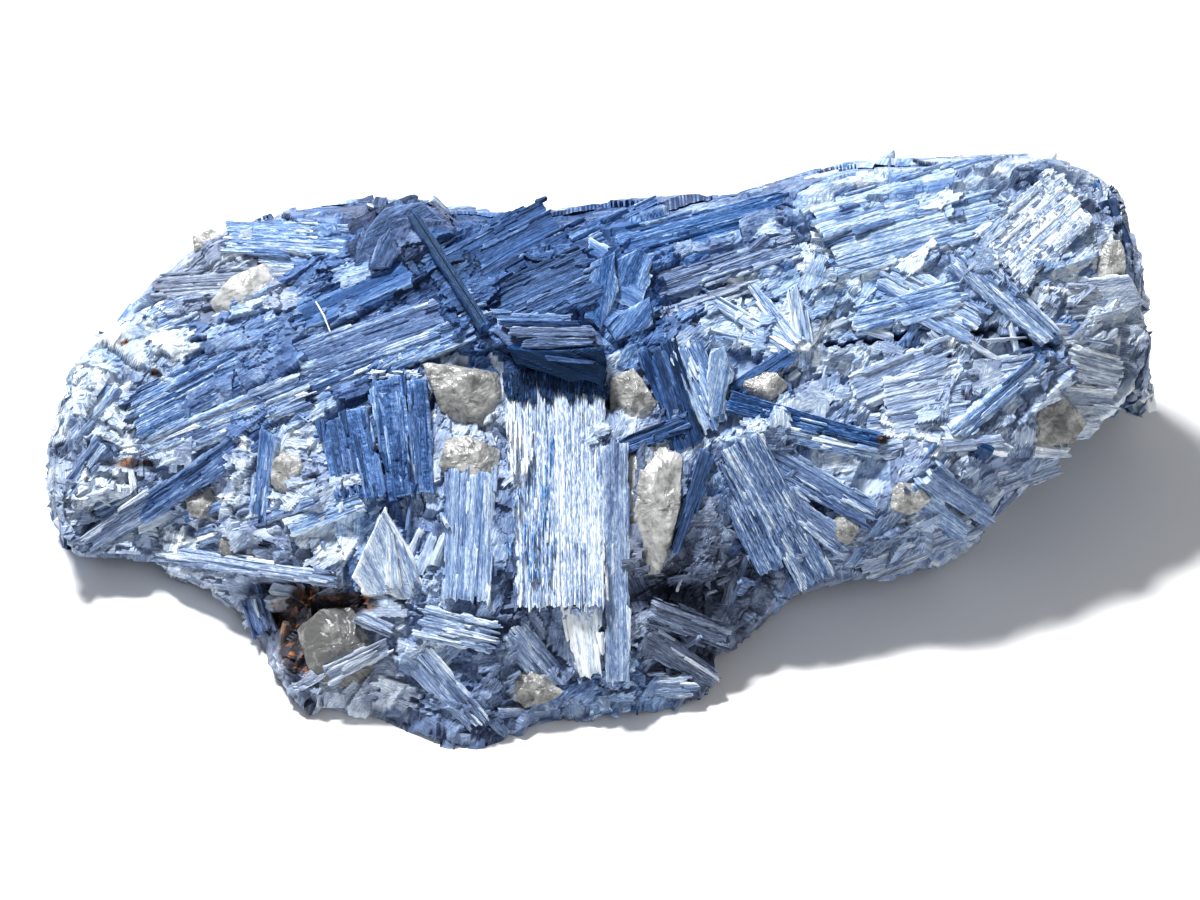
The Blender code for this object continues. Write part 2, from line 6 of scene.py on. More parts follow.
import functools
import math
import bpy
import numpy as np
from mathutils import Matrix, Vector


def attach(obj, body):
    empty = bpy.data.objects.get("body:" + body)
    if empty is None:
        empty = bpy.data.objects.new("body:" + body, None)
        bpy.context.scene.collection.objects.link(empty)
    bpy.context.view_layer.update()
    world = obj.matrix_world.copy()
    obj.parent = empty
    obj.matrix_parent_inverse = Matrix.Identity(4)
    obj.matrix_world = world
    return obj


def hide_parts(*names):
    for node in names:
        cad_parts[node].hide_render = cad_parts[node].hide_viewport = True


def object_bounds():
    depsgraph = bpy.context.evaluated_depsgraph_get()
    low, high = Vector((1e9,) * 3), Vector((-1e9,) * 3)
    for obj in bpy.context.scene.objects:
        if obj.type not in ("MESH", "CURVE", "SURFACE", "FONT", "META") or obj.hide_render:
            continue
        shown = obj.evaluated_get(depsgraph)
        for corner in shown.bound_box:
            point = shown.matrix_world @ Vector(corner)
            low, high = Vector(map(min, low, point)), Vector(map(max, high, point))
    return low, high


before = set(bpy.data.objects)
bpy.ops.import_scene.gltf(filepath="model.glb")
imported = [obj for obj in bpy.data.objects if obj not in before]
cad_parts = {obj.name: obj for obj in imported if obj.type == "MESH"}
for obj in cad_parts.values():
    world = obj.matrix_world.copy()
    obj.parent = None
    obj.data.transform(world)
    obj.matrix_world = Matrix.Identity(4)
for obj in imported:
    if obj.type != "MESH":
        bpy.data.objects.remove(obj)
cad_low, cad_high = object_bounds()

# ================================================================ the body that the blades grow from
# The real piece is a broken lump of fine kyanite laths, felted together in bundles that run every way.
# Its body is one surface: cross-sections carried along the specimen, then broken into facets.
MM = 0.001
# the show plane leans back by TILT: its axes run right, up along it, and out of it
TILT = math.radians(42)
CENTRE = np.array([0.0, -33.0, 37.0])
RIGHT = np.array([1.0, 0.0, 0.0])
RISE = np.array([0.0, math.sin(TILT), math.cos(TILT)])
OUT = np.array([0.0, -math.cos(TILT), math.sin(TILT)])

# place along X, crest and toe up the show plane, crest and toe heights, keel out, keel place, back reach
SECTIONS = np.array([
    (-111.5, 1, -9, 26, 20, 1, 0.5, -10),
    (-107.5, 15, -20, 32, 12, 4, 0.5, 0),
    (-101, 23, -21, 39, 8, 7, 0.5, 12),
    (-90, 34, -23, 46, 6, 8, 0.45, 26),
    (-80, 41, -27, 52, 5, 9, 0.42, 36),
    (-70, 45, -35, 56, 4, 10, 0.4, 42),
    (-61, 45, -48, 57, 3, 10, 0.38, 47),
    (-50, 44, -50, 58, 3, 11, 0.4, 52),
    (-38, 43, -53, 60, 3, 11, 0.4, 53),
    (-26, 42, -57, 61, 2, 10, 0.38, 50),
    (-12, 40, -53, 61, 2, 9, 0.36, 53),
    (4, 40, -51, 61, 2, 9, 0.36, 56),
    (18, 42, -48.5, 63, 3, 9, 0.34, 55),
    (27, 44, -40, 64, 5, 10, 0.3, 54),
    (38, 46, -29.5, 68, 9, 11, 0.2, 57),
    (50, 51, -25.5, 70, 11, 11, 0.12, 58),
    (62, 52, -24, 71, 12, 12, 0.16, 55),
    (73, 54, -19.5, 72, 15, 14, 0.24, 52),
    (84, 57, -9, 72, 21, 14, 0.32, 45),
    (94, 57, 0, 70, 28, 11, 0.36, 38),
    (104, 53, 7, 64, 34, 7, 0.4, 28),
    (111, 37, 21, 52, 42, 2, 0.5, 10),
])
# corners of the bulging front: one this share of the way to the keel, two past it, and the bulge at all six
KEEL_SHARES = 0.55, 0.36, 0.72
FRONT_BULGES = np.array([0, 0.72, 1, 0.86, 0.5, 0])
# the back falls from the crest in an arc, by these angles, a little steeper than a circle
BACK_ANGLES = np.radians([28, 52, 74])
BACK_POWER = 1.45
# the underside lies on the table, and lifts where the toe is higher than this
LEVEL_TOE, FLOOR_RISE, FLOOR_SAG = 12, 0.8, 1.5
# grid points round each cross-section, and the step along the specimen
FRONT_STEPS, BACK_STEPS, UNDER_STEPS, END_STEPS = 316, 180, 20, 7
ALONG_STEP = 0.37


def show_place(across, up, out):
    """Points of places on the leaning show plane: centre + across, up and out times its three axes."""
    across, up, out = np.broadcast_arrays(across, up, out)
    return CENTRE + across[..., None] * RIGHT + up[..., None] * RISE + out[..., None] * OUT


def mass_rings():
    """Twelve corners of each cross-section.

    Six run from the toe over the bulging front to the crest, three down the back's arc, three along the
    underside.
    """
    x, crest_up, toe_up, crest_high, toe_high, keel_out, keel_at, back = SECTIONS.T

    def at_height(up, high):
        """The place on the show plane carried out or in to a height above the table."""
        start = show_place(x, up, np.zeros_like(x))
        return start + ((high - start[:, 2]) / OUT[2])[:, None] * OUT

    toe, crest = at_height(toe_up, toe_high), at_height(crest_up, crest_high)
    before, after, far_after = KEEL_SHARES
    shares = np.stack([0 * keel_at, keel_at * before, keel_at, keel_at + (1 - keel_at) * after,
                       keel_at + (1 - keel_at) * far_after, 0 * keel_at + 1], 1)
    bulges = keel_out[:, None] * FRONT_BULGES
    front = toe[:, None] + shares[..., None] * (crest - toe)[:, None] + bulges[..., None] * OUT
    reach = crest[:, 1, None] + (back - crest[:, 1])[:, None] * np.sin(BACK_ANGLES)
    rise = crest[:, 2, None] * np.cos(BACK_ANGLES) ** BACK_POWER
    behind = np.stack([np.repeat(x[:, None], 3, 1), reach, rise], 2)
    floor = np.maximum(0, toe_high - LEVEL_TOE) * FLOOR_RISE
    under = np.stack([
        np.stack([x, back - 4, floor], 1),
        np.stack([x, (back + toe[:, 1]) / 2, floor - FLOOR_SAG], 1),
        np.stack([x, toe[:, 1] + 1.15 * (toe_high - floor) + 2, floor], 1),
    ], 1)
    return np.concatenate([front, behind, under], 1)


def smooth_through(values, places, axis_wraps):
    """Catmull-Rom curve through values[0], values[1], ... read at fractional places."""
    whole = np.floor(places).astype(int)
    part = (places - whole)[:, None, None]
    count = len(values)
    index = whole[:, None] + np.arange(-1, 3)
    index = index % count if axis_wraps else np.clip(index, 0, count - 1)
    a, b, c, d = values[index].transpose(1, 0, 2, 3)
    squared, cubed = 2 * a - 5 * b + 4 * c - d, 3 * b - a - 3 * c + d
    return 0.5 * (2 * b + (c - a) * part + squared * part**2 + cubed * part**3)


def mass_grid():
    """Points of the mass on a grid: along the specimen, then once round each cross-section."""
    rings = mass_rings()
    ends = rings[[0, -1]].mean(1, keepdims=True)
    rings = np.concatenate([ends[:1].repeat(12, 1), rings, ends[1:].repeat(12, 1)])
    x = SECTIONS[:, 0]
    along = np.interp(np.arange(x[0], x[-1], ALONG_STEP), x, np.arange(1, len(x) + 1))
    first, last = np.linspace(0, 1, END_STEPS)[:-1], np.linspace(len(x), len(x) + 1, END_STEPS)
    along = np.concatenate([first, along, last])
    around = np.concatenate([
        np.linspace(0, 5, FRONT_STEPS, endpoint=False),
        np.linspace(5, 9, BACK_STEPS, endpoint=False),
        np.linspace(9, 12, UNDER_STEPS, endpoint=False),
    ])
    grid = smooth_through(rings, along, False)
    grid = smooth_through(grid.transpose(1, 0, 2), around, True).transpose(1, 0, 2)
    grid[..., 2] = np.maximum(grid[..., 2], 0)
    return grid


def grid_normals(grid):
    """Outward unit normals from the cross product of the grid's two directions."""
    along = np.gradient(grid, axis=0)
    around = np.roll(grid, -1, 1) - np.roll(grid, 1, 1)
    normal = np.cross(along, around)
    normal[[0, -1]] = np.array([[[-1.0, 0, 0]], [[1.0, 0, 0]]])
    return normal / (np.linalg.norm(normal, axis=2, keepdims=True) + 1e-9)


def scrambled(cell, salt):
    """Repeatable random numbers from 0 to 1 for whole-numbered cells: three mixed integers, one salt."""
    mixed = np.uint32(salt * 2654435761 % 2**32)
    for axis, factor in enumerate((73856093, 19349663, 83492791)):
        mixed = mixed ^ (cell[..., axis].astype(np.int64) * factor & 0xFFFFFFFF).astype(np.uint32)
        mixed = (mixed.astype(np.uint64) * 2246822519 & 0xFFFFFFFF).astype(np.uint32)
        mixed = mixed ^ (mixed >> np.uint32(13))
    return mixed / 2.0**32


def nearest_cell(points, salt, flat=False):
    """Irregular cells of size one: each point's cell, and its offset from the cell's own jittered centre.

    Flat cells differ in the first two directions alone.
    """
    base = np.floor(points)
    best = np.full(points.shape[:-1], 9.0)
    cell, offset = base.copy(), np.zeros_like(points)
    for shift in np.ndindex(3, 3, 1 if flat else 3):
        other = base + np.array(shift) - (1, 1, 0 if flat else 1)
        centre = other + np.stack([scrambled(other, salt + k) for k in range(3)], -1)
        gap = points - centre
        if flat:
            gap[..., 2] = 0
        distance = (gap**2).sum(-1)
        nearer = distance < best
        best = np.where(nearer, distance, best)
        cell[nearer], offset[nearer] = other[nearer], gap[nearer]
    return cell, offset


def unit(vectors):
    """The vectors at length one."""
    return vectors / (np.linalg.norm(vectors, axis=-1, keepdims=True) + 1e-12)


def on_show_plane(points):
    """(across, up, out) of points, measured on the show plane."""
    away = points - CENTRE
    return away @ RIGHT, away @ RISE, away @ OUT


# the mass before it is broken, as a grid and as one list of points
smooth_grid = mass_grid()
smooth_points = smooth_grid.reshape(-1, 3)
smooth_normals = grid_normals(smooth_grid).reshape(-1, 3)
# a map of depths on the show plane: size of a cell, cells to a side, the mark of an empty one, and how many
# times the cells next to empty ones spread into them
MAP_STEP = 1.5
MAP_SIZE = 170
EMPTY = -99.0
FILL_ROUNDS = 12


def map_cell(across, up):
    """Column and row of the depth map for places on the show plane."""
    places = (np.clip(place / MAP_STEP + MAP_SIZE / 2, 0, MAP_SIZE - 1) for place in (across, up))
    return tuple(place.astype(int) for place in places)


def show_depths():
    """How far out the mass lies behind each cell of the show plane: the outermost grid point in the cell."""
    across, up, out = on_show_plane(smooth_points)
    depths = np.full((MAP_SIZE, MAP_SIZE), EMPTY)
    np.maximum.at(depths, map_cell(across, up), out)
    for _ in range(FILL_ROUNDS):
        spread = np.max([np.roll(depths, step, axis) for axis in (0, 1) for step in (-1, 1)], 0)
        depths = np.where(depths < EMPTY + 1, spread, depths)
    return depths


depth_map = show_depths()


def depth_at(across, up):
    """Depths read from the map by nearest cell."""
    return depth_map[map_cell(across, up)]


# swellings of finer crystals: place (across, up), radius and how far they push the surface out
LUMPS = [
    (-40, 45, 11, 4.5),
    (-58, 41, 9, 2),
    (-97, -6, 12, 3),
    (-101, 10, 10, 3),
    (-20, -52, 8, 2.5),
    (3, -48, 9, 2.5),
    (33, 45, 8, 2.5),
    (100, 26, 9, 3),
    (86, -2, 9, 3),
]


# size, salt, slope and step of the facets, and how far in and out they go
FACETS = (17, 101, 0.12, 0.7)
FACET_IN, FACET_OUT = -1.6, 0.6


def facet(points, size, salt, slope, step):
    """Height of a broken surface: each irregular cell of this size has its own slant and its own step."""
    cell, offset = nearest_cell(points / size, salt)
    slant = np.stack([scrambled(cell, salt + 7 + k) - 0.5 for k in range(3)], -1) * 2 * slope * size
    return (slant * offset).sum(-1) + (scrambled(cell, salt + 11) - 0.7) * 2 * step


def grounded(points):
    """The points kept above the table, those of the smooth underside on it."""
    points[:, 2] = np.maximum(points[:, 2], 0)
    points[smooth_points[:, 2] < 0.05, 2] = 0
    return points


def faceted_mass():
    """The smooth mass pushed out over its lumps and broken into large facets."""
    points = smooth_points.copy()
    for across, up, radius, push in LUMPS:
        centre = show_place(across, up, depth_at(across, up))
        reach = np.linalg.norm(smooth_points - centre, axis=1) / radius
        points = points + push * np.clip(1 - reach**2, 0, 1)[:, None] * smooth_normals
    height = np.clip(facet(points, *FACETS), FACET_IN, FACET_OUT)
    return grounded(points + height[:, None] * smooth_normals)


# the mass broken into facets: points in the same order, and their normals
flat_points = faceted_mass()
grid = flat_points.reshape(smooth_grid.shape)
flat_normals = unit(grid_normals(grid).reshape(-1, 3) + 0.3 * smooth_normals)

# ================================================================ blades of the crest
# The crest is the thickest growth: long steel-blue blades side by side, split along their length.
# Each blade is a slab whose broad face is a terrace of long narrow splits, with broken ends.
def triangles(quads):
    """Each four-cornered face as two triangles."""
    return np.concatenate([quads[:, [0, 1, 2]], quads[:, [0, 2, 3]]])


def grid_faces(corner, after):
    """Triangles over a grid of corners, where `after` holds each corner's neighbour in its own row."""
    return triangles(np.stack([corner[:-1], corner[1:], after[1:], after[:-1]], -1).reshape(-1, 4))


def slab_faces(rows, columns):
    """Triangles of one slab: its broad face on a grid, a wall round its border, and a fan underneath."""
    order = np.arange(rows * columns).reshape(rows, columns)
    border = np.concatenate([order[:-1, 0], order[-1, :-1], order[:0:-1, -1], order[0, :0:-1]])
    lower = rows * columns + np.arange(len(border))
    wall = np.stack([lower, np.roll(lower, -1), np.roll(border, -1), border], 1)
    middle = np.full(len(border), lower[-1] + 1)
    under = np.stack([middle, np.roll(lower, -1), lower], 1)
    return np.concatenate([grid_faces(order[:, :-1], order[:, 1:]), triangles(wall), under]), border


# the split face: how many finer laths go into one, how many make a broad one, and how many laths long the
# pieces of a lath are, on cross-ribbed blades and on plain ones
FINE_LATHS, BROAD_LATHS = 3.3, 4.3
RIBBED_FROM, RIBBED_LENGTH, PLAIN_LENGTH = 0.06, 1.1, 8.0
SLIVER_LENGTH, CHIP_LENGTH = 0.4, 2.5
# how far the face bows, as a share of its length
BOW = 0.006
# ends: this share of the fray is ragged and the rest slants; no end takes more than this share of the length
RAGGED, MOST_FRAY = 0.55, 0.4
# the first keeps the cells' numbers above zero, the second gives each slab its own stretch of the streaks
CELL_SHIFT, GRAIN_SHIFT = 50, 1.7


def slabs(near, far, outward, wide_near, wide_far, thick, looks, lath, step, fray, chance, rows, columns,
          edges=None):
    """Slabs of one grid, each between its near and far point.

    Along and across run over the broad face, across between its two long edges, which `edges` may give.
    Its height is a terrace: long narrow cells, a lath wide, each with its own level and roll, and finer and
    broader ones on them. Each lath ends at its own reach, the long edges are chipped, and the whole face
    bows a little. The border goes down and inwards to the underside.
    """
    count = len(near)
    span = far - near
    length = np.linalg.norm(span, axis=1)
    along = span / length[:, None]
    outward = unit(outward - (outward * along).sum(1)[:, None] * along)
    side = np.cross(outward, along)
    s, t = np.meshgrid(np.linspace(0, 1, rows), np.linspace(-1, 1, columns), indexing="ij")
    size = length[:, None, None]
    width = wide_near[:, None, None] * (1 - s) + wide_far[:, None, None] * s
    lath, step, fray, thick = (value[:, None, None] for value in (lath, step, fray, thick))
    salt = chance.integers(0, 9000, count)[:, None, None] * np.ones((count, rows, columns))
    flat_along, flat_across = (s - 0.5) * size, t * width / 2
    column = t * (wide_near + wide_far)[:, None, None] / 4 / lath + CELL_SHIFT
    if edges is not None:
        flat_across = edges[0][:, None] * (1 - t) / 2 + edges[1][:, None] * (1 + t) / 2 + 0 * flat_along
        column = flat_across / lath + CELL_SHIFT

    def lath_cells(column, lot):
        """Cells of each slab's own, one lath wide and as long as the face."""
        return nearest_cell(np.stack([column, 0 * salt + 0.5, salt], -1), lot, True)

    cell, offset = lath_cells(column, 3)
    thin, _ = lath_cells(column * FINE_LATHS, 13)
    broad, lean = lath_cells(column / BROAD_LATHS, 15)
    parting = np.where(looks[:, 4] > RIBBED_FROM, RIBBED_LENGTH, PLAIN_LENGTH)[:, None, None] * lath
    piece, sliver = cell.copy(), thin.copy()
    piece[..., 1] = np.floor(flat_along / parting + 40 + 9 * scrambled(cell, 37) + offset[..., 0])
    sliver[..., 1] = np.floor(flat_along / (SLIVER_LENGTH * parting) + 90 + 9 * scrambled(thin, 39))
    height = (scrambled(cell, 21) - 0.75) * 0.55 * step
    height = height + offset[..., 0] * (scrambled(cell, 23) - 0.5) * step * 0.8
    height = height + (scrambled(piece, 25) - 0.6) * 0.4 * step + (scrambled(sliver, 26) - 0.5) * 0.25 * step
    height = height + (scrambled(broad, 27) - 0.7) * step
    height = height + lean[..., 0] * (scrambled(broad, 28) - 0.5) * step * 1.6
    height = height + (chance.normal(0, BOW, count)[:, None, None] * size) * (4 * (s - 0.5) ** 2 - 0.4)
    height = height - step * np.abs(t) ** 10 - step * 0.6 * np.abs(2 * s - 1) ** 20
    oblique = chance.uniform(-0.6, 0.6, (2, count))[..., None, None]
    ends = []
    for end in (0, 1):
        ragged = scrambled(cell, 33 + end) ** 2 * 0.8 + 0.2 * scrambled(thin, 35 + end)
        slanted = 0.5 + oblique[end] * np.clip(flat_across * 2 / width, -1, 1)
        ends.append(np.minimum((RAGGED * ragged + (1 - RAGGED) * slanted) * fray, MOST_FRAY * size))
    reach = -size / 2 + ends[0] + s * (size - ends[0] - ends[1])
    chip_cell = np.floor(flat_along / (lath * CHIP_LENGTH) + CELL_SHIFT)
    chip = scrambled(np.stack([chip_cell, salt + (t > 0), salt], -1), 35)
    across = flat_across * (1 - np.minimum(0.6 * lath / width, 0.12) * 2 * chip * np.abs(t) ** 3)
    middle = ((near + far) / 2)[:, None, None]
    top = (middle + reach[..., None] * along[:, None, None] + across[..., None] * side[:, None, None]
           + height[..., None] * outward[:, None, None])
    _, border = slab_faces(rows, columns)
    top = top.reshape(count, -1, 3)
    edge = top[:, border]
    low = edge + ((middle[:, 0] - edge) * 0.1) - outward[:, None] * thick * 0.8
    centre = middle[:, 0] - outward[:, None] * thick
    own = looks[:, None] * np.ones((rows * columns, 1))
    own[..., 0] += ((scrambled(cell, 41) - 0.5) * 0.2 + (scrambled(sliver, 43) - 0.5) * 0.16
                    + (scrambled(piece, 44) - 0.5) * 0.1).reshape(count, -1)
    own[..., 1] += ((scrambled(cell, 45) - 0.5) * 0.16).reshape(count, -1)
    grain = np.stack([reach, across, 0.31 * salt + scrambled(cell, 47) * 9], -1)
    grain[..., :2] += (salt * GRAIN_SHIFT)[..., None]
    share = np.stack([2 * s - 1 + 0 * reach, t + 0 * reach, height], -1)

    def with_border(values):
        """The face's values, then those of its border again for the wall, then one for the underside."""
        values = values.reshape(count, rows * columns, -1)
        return np.concatenate([values, values[:, border], values[:, :1]], 1)

    # the streaks are read a little aside on the wall and the underside
    below = np.arange(len(border) + rows * columns + 1) >= rows * columns
    return {
        "points": np.concatenate([top, low, centre], 1),
        "grain": with_border(grain) + np.array([0, 0.7, 0]) * below[None, :, None],
        "shade": with_border(own[..., :3]),
        "habit": with_border(own[..., 3:]),
        "share": with_border(share),
        "shape": (rows, columns),
    }


BOX_LOW, BOX_HIGH = np.array(cad_low) / MM, np.array(cad_high) / MM
CORNER_SLACK, EDGE_SLACK = 0.7, 1
UNDER_TABLE, ABOVE_TABLE = -30, 0.02


def inside_box(points):
    """Which slabs keep their corners in the solid's box, or a hair outside; they may go under the table."""
    low, high = BOX_LOW - CORNER_SLACK, BOX_HIGH + CORNER_SLACK
    low[2] = UNDER_TABLE
    return ((points > low) & (points < high)).all((1, 2))


# Rust stains: place (across, up), half sizes, strength.
RUST = np.array([
    (-95.5, -2.6, 6, 1.2, 1), (-90, 15.5, 1.3, 1, 1), (-96.5, 21.5, 1.1, 0.8, 0.8), (-59, -33.5, 9.5, 6.5, 1),
    (-48, -30.5, 4, 1.3, 1), (-61, -41, 3, 4, 1), (57, 2, 1.6, 0.9, 0.9), (70.5, 19, 1, 0.8, 0.8),
    (73.5, 11, 1, 0.8, 0.8), (71, 44, 2, 1.6, 0.3), (73, 35.5, 2, 1.2, 0.3), (-55, -20, 3, 1, 0.35),
])
# stains belong to the show side, so they end this far behind its plane
STAIN_BACK = -45


def ellipse_reach(across, up, middle, half):
    """Squared distance of each place from each ellipse's middle, as a share of its half sizes."""
    aside, above = across[..., None] - middle[:, 0], up[..., None] - middle[:, 1]
    return (aside / half[:, 0]) ** 2 + (above / half[:, 1]) ** 2


def nearness(points, spots):
    """Sum of soft elliptical spots on the show plane, e^-reach each, from 0 to 1, and zero far behind it."""
    across, up, out = on_show_plane(points)
    reach = ellipse_reach(across, up, spots[:, 0:2], spots[:, 2:4])
    return np.clip((np.exp(-reach) * spots[:, 4]).sum(-1), 0, 1) * (out > STAIN_BACK)


def new_piece(name, points, faces, numbers, material):
    """A mesh object from arrays in millimetres; `numbers` holds its named point attributes."""
    mesh = bpy.data.meshes.new(name)
    mesh.vertices.add(len(points))
    mesh.vertices.foreach_set("co", (points * MM).astype(np.float32).ravel())
    mesh.loops.add(faces.size)
    mesh.loops.foreach_set("vertex_index", faces.astype(np.int32).ravel())
    mesh.polygons.add(len(faces))
    mesh.polygons.foreach_set("loop_start", np.arange(0, faces.size, faces.shape[1], dtype=np.int32))
    mesh.polygons.foreach_set("use_smooth", np.zeros(len(faces), bool))
    for key, value in numbers.items():
        data = mesh.attributes.new(key, "FLOAT_VECTOR", "POINT").data
        data.foreach_set("vector", value.astype(np.float32).ravel())
    mesh.update(calc_edges=True)
    mesh.validate()
    mesh.materials.append(material)
    piece = bpy.data.objects.new(name, mesh)
    bpy.context.collection.objects.link(piece)
    return piece


def add_node(tree, kind, **settings):
    """A shader node with its settings; a key that names an input socket sets its value."""
    node = tree.nodes.new(kind)
    for key, value in settings.items():
        if key in node.inputs:
            node.inputs[key].default_value = value
        else:
            setattr(node, key, value)
    return node


def number(tree, operation, first, second=0.0, clamp=False):
    """A math node on two numbers or sockets."""
    node = add_node(tree, "ShaderNodeMath", operation=operation, use_clamp=clamp)
    for socket, value in zip(node.inputs, (first, second)):
        if isinstance(value, (int, float)):
            socket.default_value = value
        else:
            tree.links.new(value, socket)
    return node.outputs[0]


def colour_ramp(tree, factor, stops):
    """A colour between stops, each a position and a colour, read at the factor."""
    ramp = add_node(tree, "ShaderNodeValToRGB")
    while len(ramp.color_ramp.elements) < len(stops):
        ramp.color_ramp.elements.new(0.5)
    for element, (position, colour) in zip(ramp.color_ramp.elements, stops):
        element.position = position
        element.color = (*colour, 1)
    tree.links.new(factor, ramp.inputs["Fac"])
    return ramp.outputs["Color"]


def new_finish(name, constants):
    """A node material, its tree and its shader, with the constants set on the shader's own sockets."""
    material = bpy.data.materials.new(name)
    material.use_nodes = True
    shader = material.node_tree.nodes["Principled BSDF"]
    for key, value in constants.items():
        shader.inputs[key].default_value = value
    return material, material.node_tree, shader


def add_relief(tree, shader, height, strength, distance):
    """Fine relief by bump: its height, how strong it is and how deep in metres."""
    bump = add_node(tree, "ShaderNodeBump", Strength=strength, Distance=distance)
    tree.links.new(height, bump.inputs["Height"])
    tree.links.new(bump.outputs["Normal"], shader.inputs["Normal"])


def swing(tree, noise, size):
    """A noise of mean one half turned into a shift up and down of this size."""
    return number(tree, "MULTIPLY", number(tree, "SUBTRACT", noise, 0.5), size)


def stretched_noise(tree, vector, stretch, detail, roughness=0.55):
    """Noise read at the vector times a stretch, so that it is long where the stretch is small."""
    scaled = add_node(tree, "ShaderNodeVectorMath", operation="MULTIPLY")
    tree.links.new(vector, scaled.inputs[0])
    scaled.inputs[1].default_value = stretch
    noise = add_node(tree, "ShaderNodeTexNoise", Scale=1.0, Detail=detail, Roughness=roughness)
    tree.links.new(scaled.outputs[0], noise.inputs["Vector"])
    return noise.outputs["Fac"]


def three_parts(tree, name):
    """The three numbers of a vector attribute."""
    read = add_node(tree, "ShaderNodeAttribute", attribute_name=name)
    split = add_node(tree, "ShaderNodeSeparateXYZ")
    tree.links.new(read.outputs["Vector"], split.inputs[0])
    return split.outputs


KYANITE_STOPS = [
    (0, (0.002, 0.009, 0.034)),
    (0.2, (0.007, 0.033, 0.122)),
    (0.4, (0.03, 0.09, 0.268)),
    (0.6, (0.108, 0.218, 0.455)),
    (0.8, (0.365, 0.5, 0.672)),
    (1, (0.82, 0.865, 0.9)),
]
RUST_STOPS = [(0.54, (0.022, 0.012, 0.007)), (0.7, (0.36, 0.125, 0.018))]


def kyanite_finish():
    """Navy to silvery white by each lath's tint, streaked along it, ribbed across, greyed and rust-stained.

    Place on the ramp = tint + lines * streak + hairs + painted glints + cross-ribs + clouds + a pale rim.
    """
    material, tree, shader = new_finish("kyanite_laths", {
        "IOR": 1.72,
        "Specular IOR Level": 0.26,
        "Specular Tint": (0.35, 0.6, 1.0, 1),
    })
    plus, minus, times = (functools.partial(number, tree, kind) for kind in ("ADD", "SUBTRACT", "MULTIPLY"))
    grain = add_node(tree, "ShaderNodeAttribute", attribute_name="grain").outputs["Vector"]
    tint, grey, rust = three_parts(tree, "shade")
    streak, ribs, rim = three_parts(tree, "habit")
    along, across, _ = three_parts(tree, "share")
    place = add_node(tree, "ShaderNodeTexCoord").outputs["Object"]
    lines = stretched_noise(tree, grain, (0.03, 2.6, 1.0), 3)
    hairs = stretched_noise(tree, grain, (0.7, 4.6, 1.0), 3, 0.65)
    glint_flecks = stretched_noise(tree, grain, (0.7, 5.0, 3.0), 2, 0.7)
    cross = stretched_noise(tree, grain, (2.3, 0.2, 1.0), 2)
    clouds = stretched_noise(tree, place, (240, 240, 240), 3)
    depth = plus(tint, times(swing(tree, lines, 3.4), streak))
    depth = plus(depth, times(swing(tree, hairs, 1.0), plus(0.55, times(streak, 3.2))))
    # painted glints: sparse white flecks lighten the colour, and the same flecks are glossier
    painted_glints = times(minus(glint_flecks, 0.62), 6.0, clamp=True)
    depth = plus(depth, times(painted_glints, times(plus(tint, 0.1), 0.6, clamp=True)))
    depth = plus(depth, times(swing(tree, cross, 2.2), ribs))
    depth = plus(depth, swing(tree, clouds, 0.3))
    borders = [number(tree, "POWER", number(tree, "ABSOLUTE", share), sharpness)
               for share, sharpness in ((along, 40.0), (across, 7.0))]
    depth = plus(depth, times(number(tree, "MAXIMUM", *borders), rim), clamp=True)
    faded = add_node(tree, "ShaderNodeHueSaturation")
    tree.links.new(colour_ramp(tree, depth, KYANITE_STOPS), faded.inputs["Color"])
    tree.links.new(minus(1.0, times(grey, 0.6)), faded.inputs["Saturation"])
    rusty = times(minus(times(rust, times(clouds, 2.2)), 0.28), 3.0, clamp=True)
    rust_colour = colour_ramp(tree, stretched_noise(tree, place, (420, 420, 420), 3), RUST_STOPS)
    stained = add_node(tree, "ShaderNodeMix", data_type="RGBA")
    tree.links.new(times(rusty, 0.92), stained.inputs["Factor"])
    tree.links.new(faded.outputs["Color"], stained.inputs["A"])
    tree.links.new(rust_colour, stained.inputs["B"])
    tree.links.new(stained.outputs["Result"], shader.inputs["Base Color"])
    tree.links.new(minus(0.75, times(glint_flecks, 0.6)), shader.inputs["Roughness"])
    add_relief(tree, shader, plus(times(lines, 0.7), times(hairs, 0.8)), 0.7, 0.0003)
    return material


kyanite = kyanite_finish()


def slab_piece(name, batches):
    """One piece from batches of slabs, joined, with the attributes that the finish reads."""
    parts, faces, offset = {key: [] for key in ("points", "grain", "shade", "habit", "share")}, [], 0
    for batch in batches:
        own, _ = slab_faces(*batch["shape"])
        keep = inside_box(batch["points"])
        count, corners = keep.sum(), batch["points"].shape[1]
        faces.append((own[None] + corners * np.arange(count)[:, None, None]).reshape(-1, 3) + offset)
        offset += count * corners
        for key in parts:
            parts[key].append(batch[key][keep].reshape(-1, 3))
    joined = {key: np.concatenate(value) for key, value in parts.items()}
    points = joined.pop("points")
    joined["shade"][:, 2] = np.maximum(joined["shade"][:, 2], nearness(points, RUST))
    points = np.clip(points, BOX_LOW - EDGE_SLACK, BOX_HIGH + EDGE_SLACK)
    points[:, 2] = np.maximum(points[:, 2], ABOVE_TABLE)
    piece = new_piece(name, points, np.concatenate(faces), joined, kyanite)
    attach(piece, "root")
    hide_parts("kyanite_mass")


# size of a blade's grid cells across and along; how far its roll follows the mass's slant, and its limit
GRID_ACROSS, GRID_ALONG = 0.3, 0.8
ROLL_SHARE, ROLL_LIMIT = 0.85, 28
# tables give a blade's stand-out before it is taken down by this
STAND_OUT = 0.6


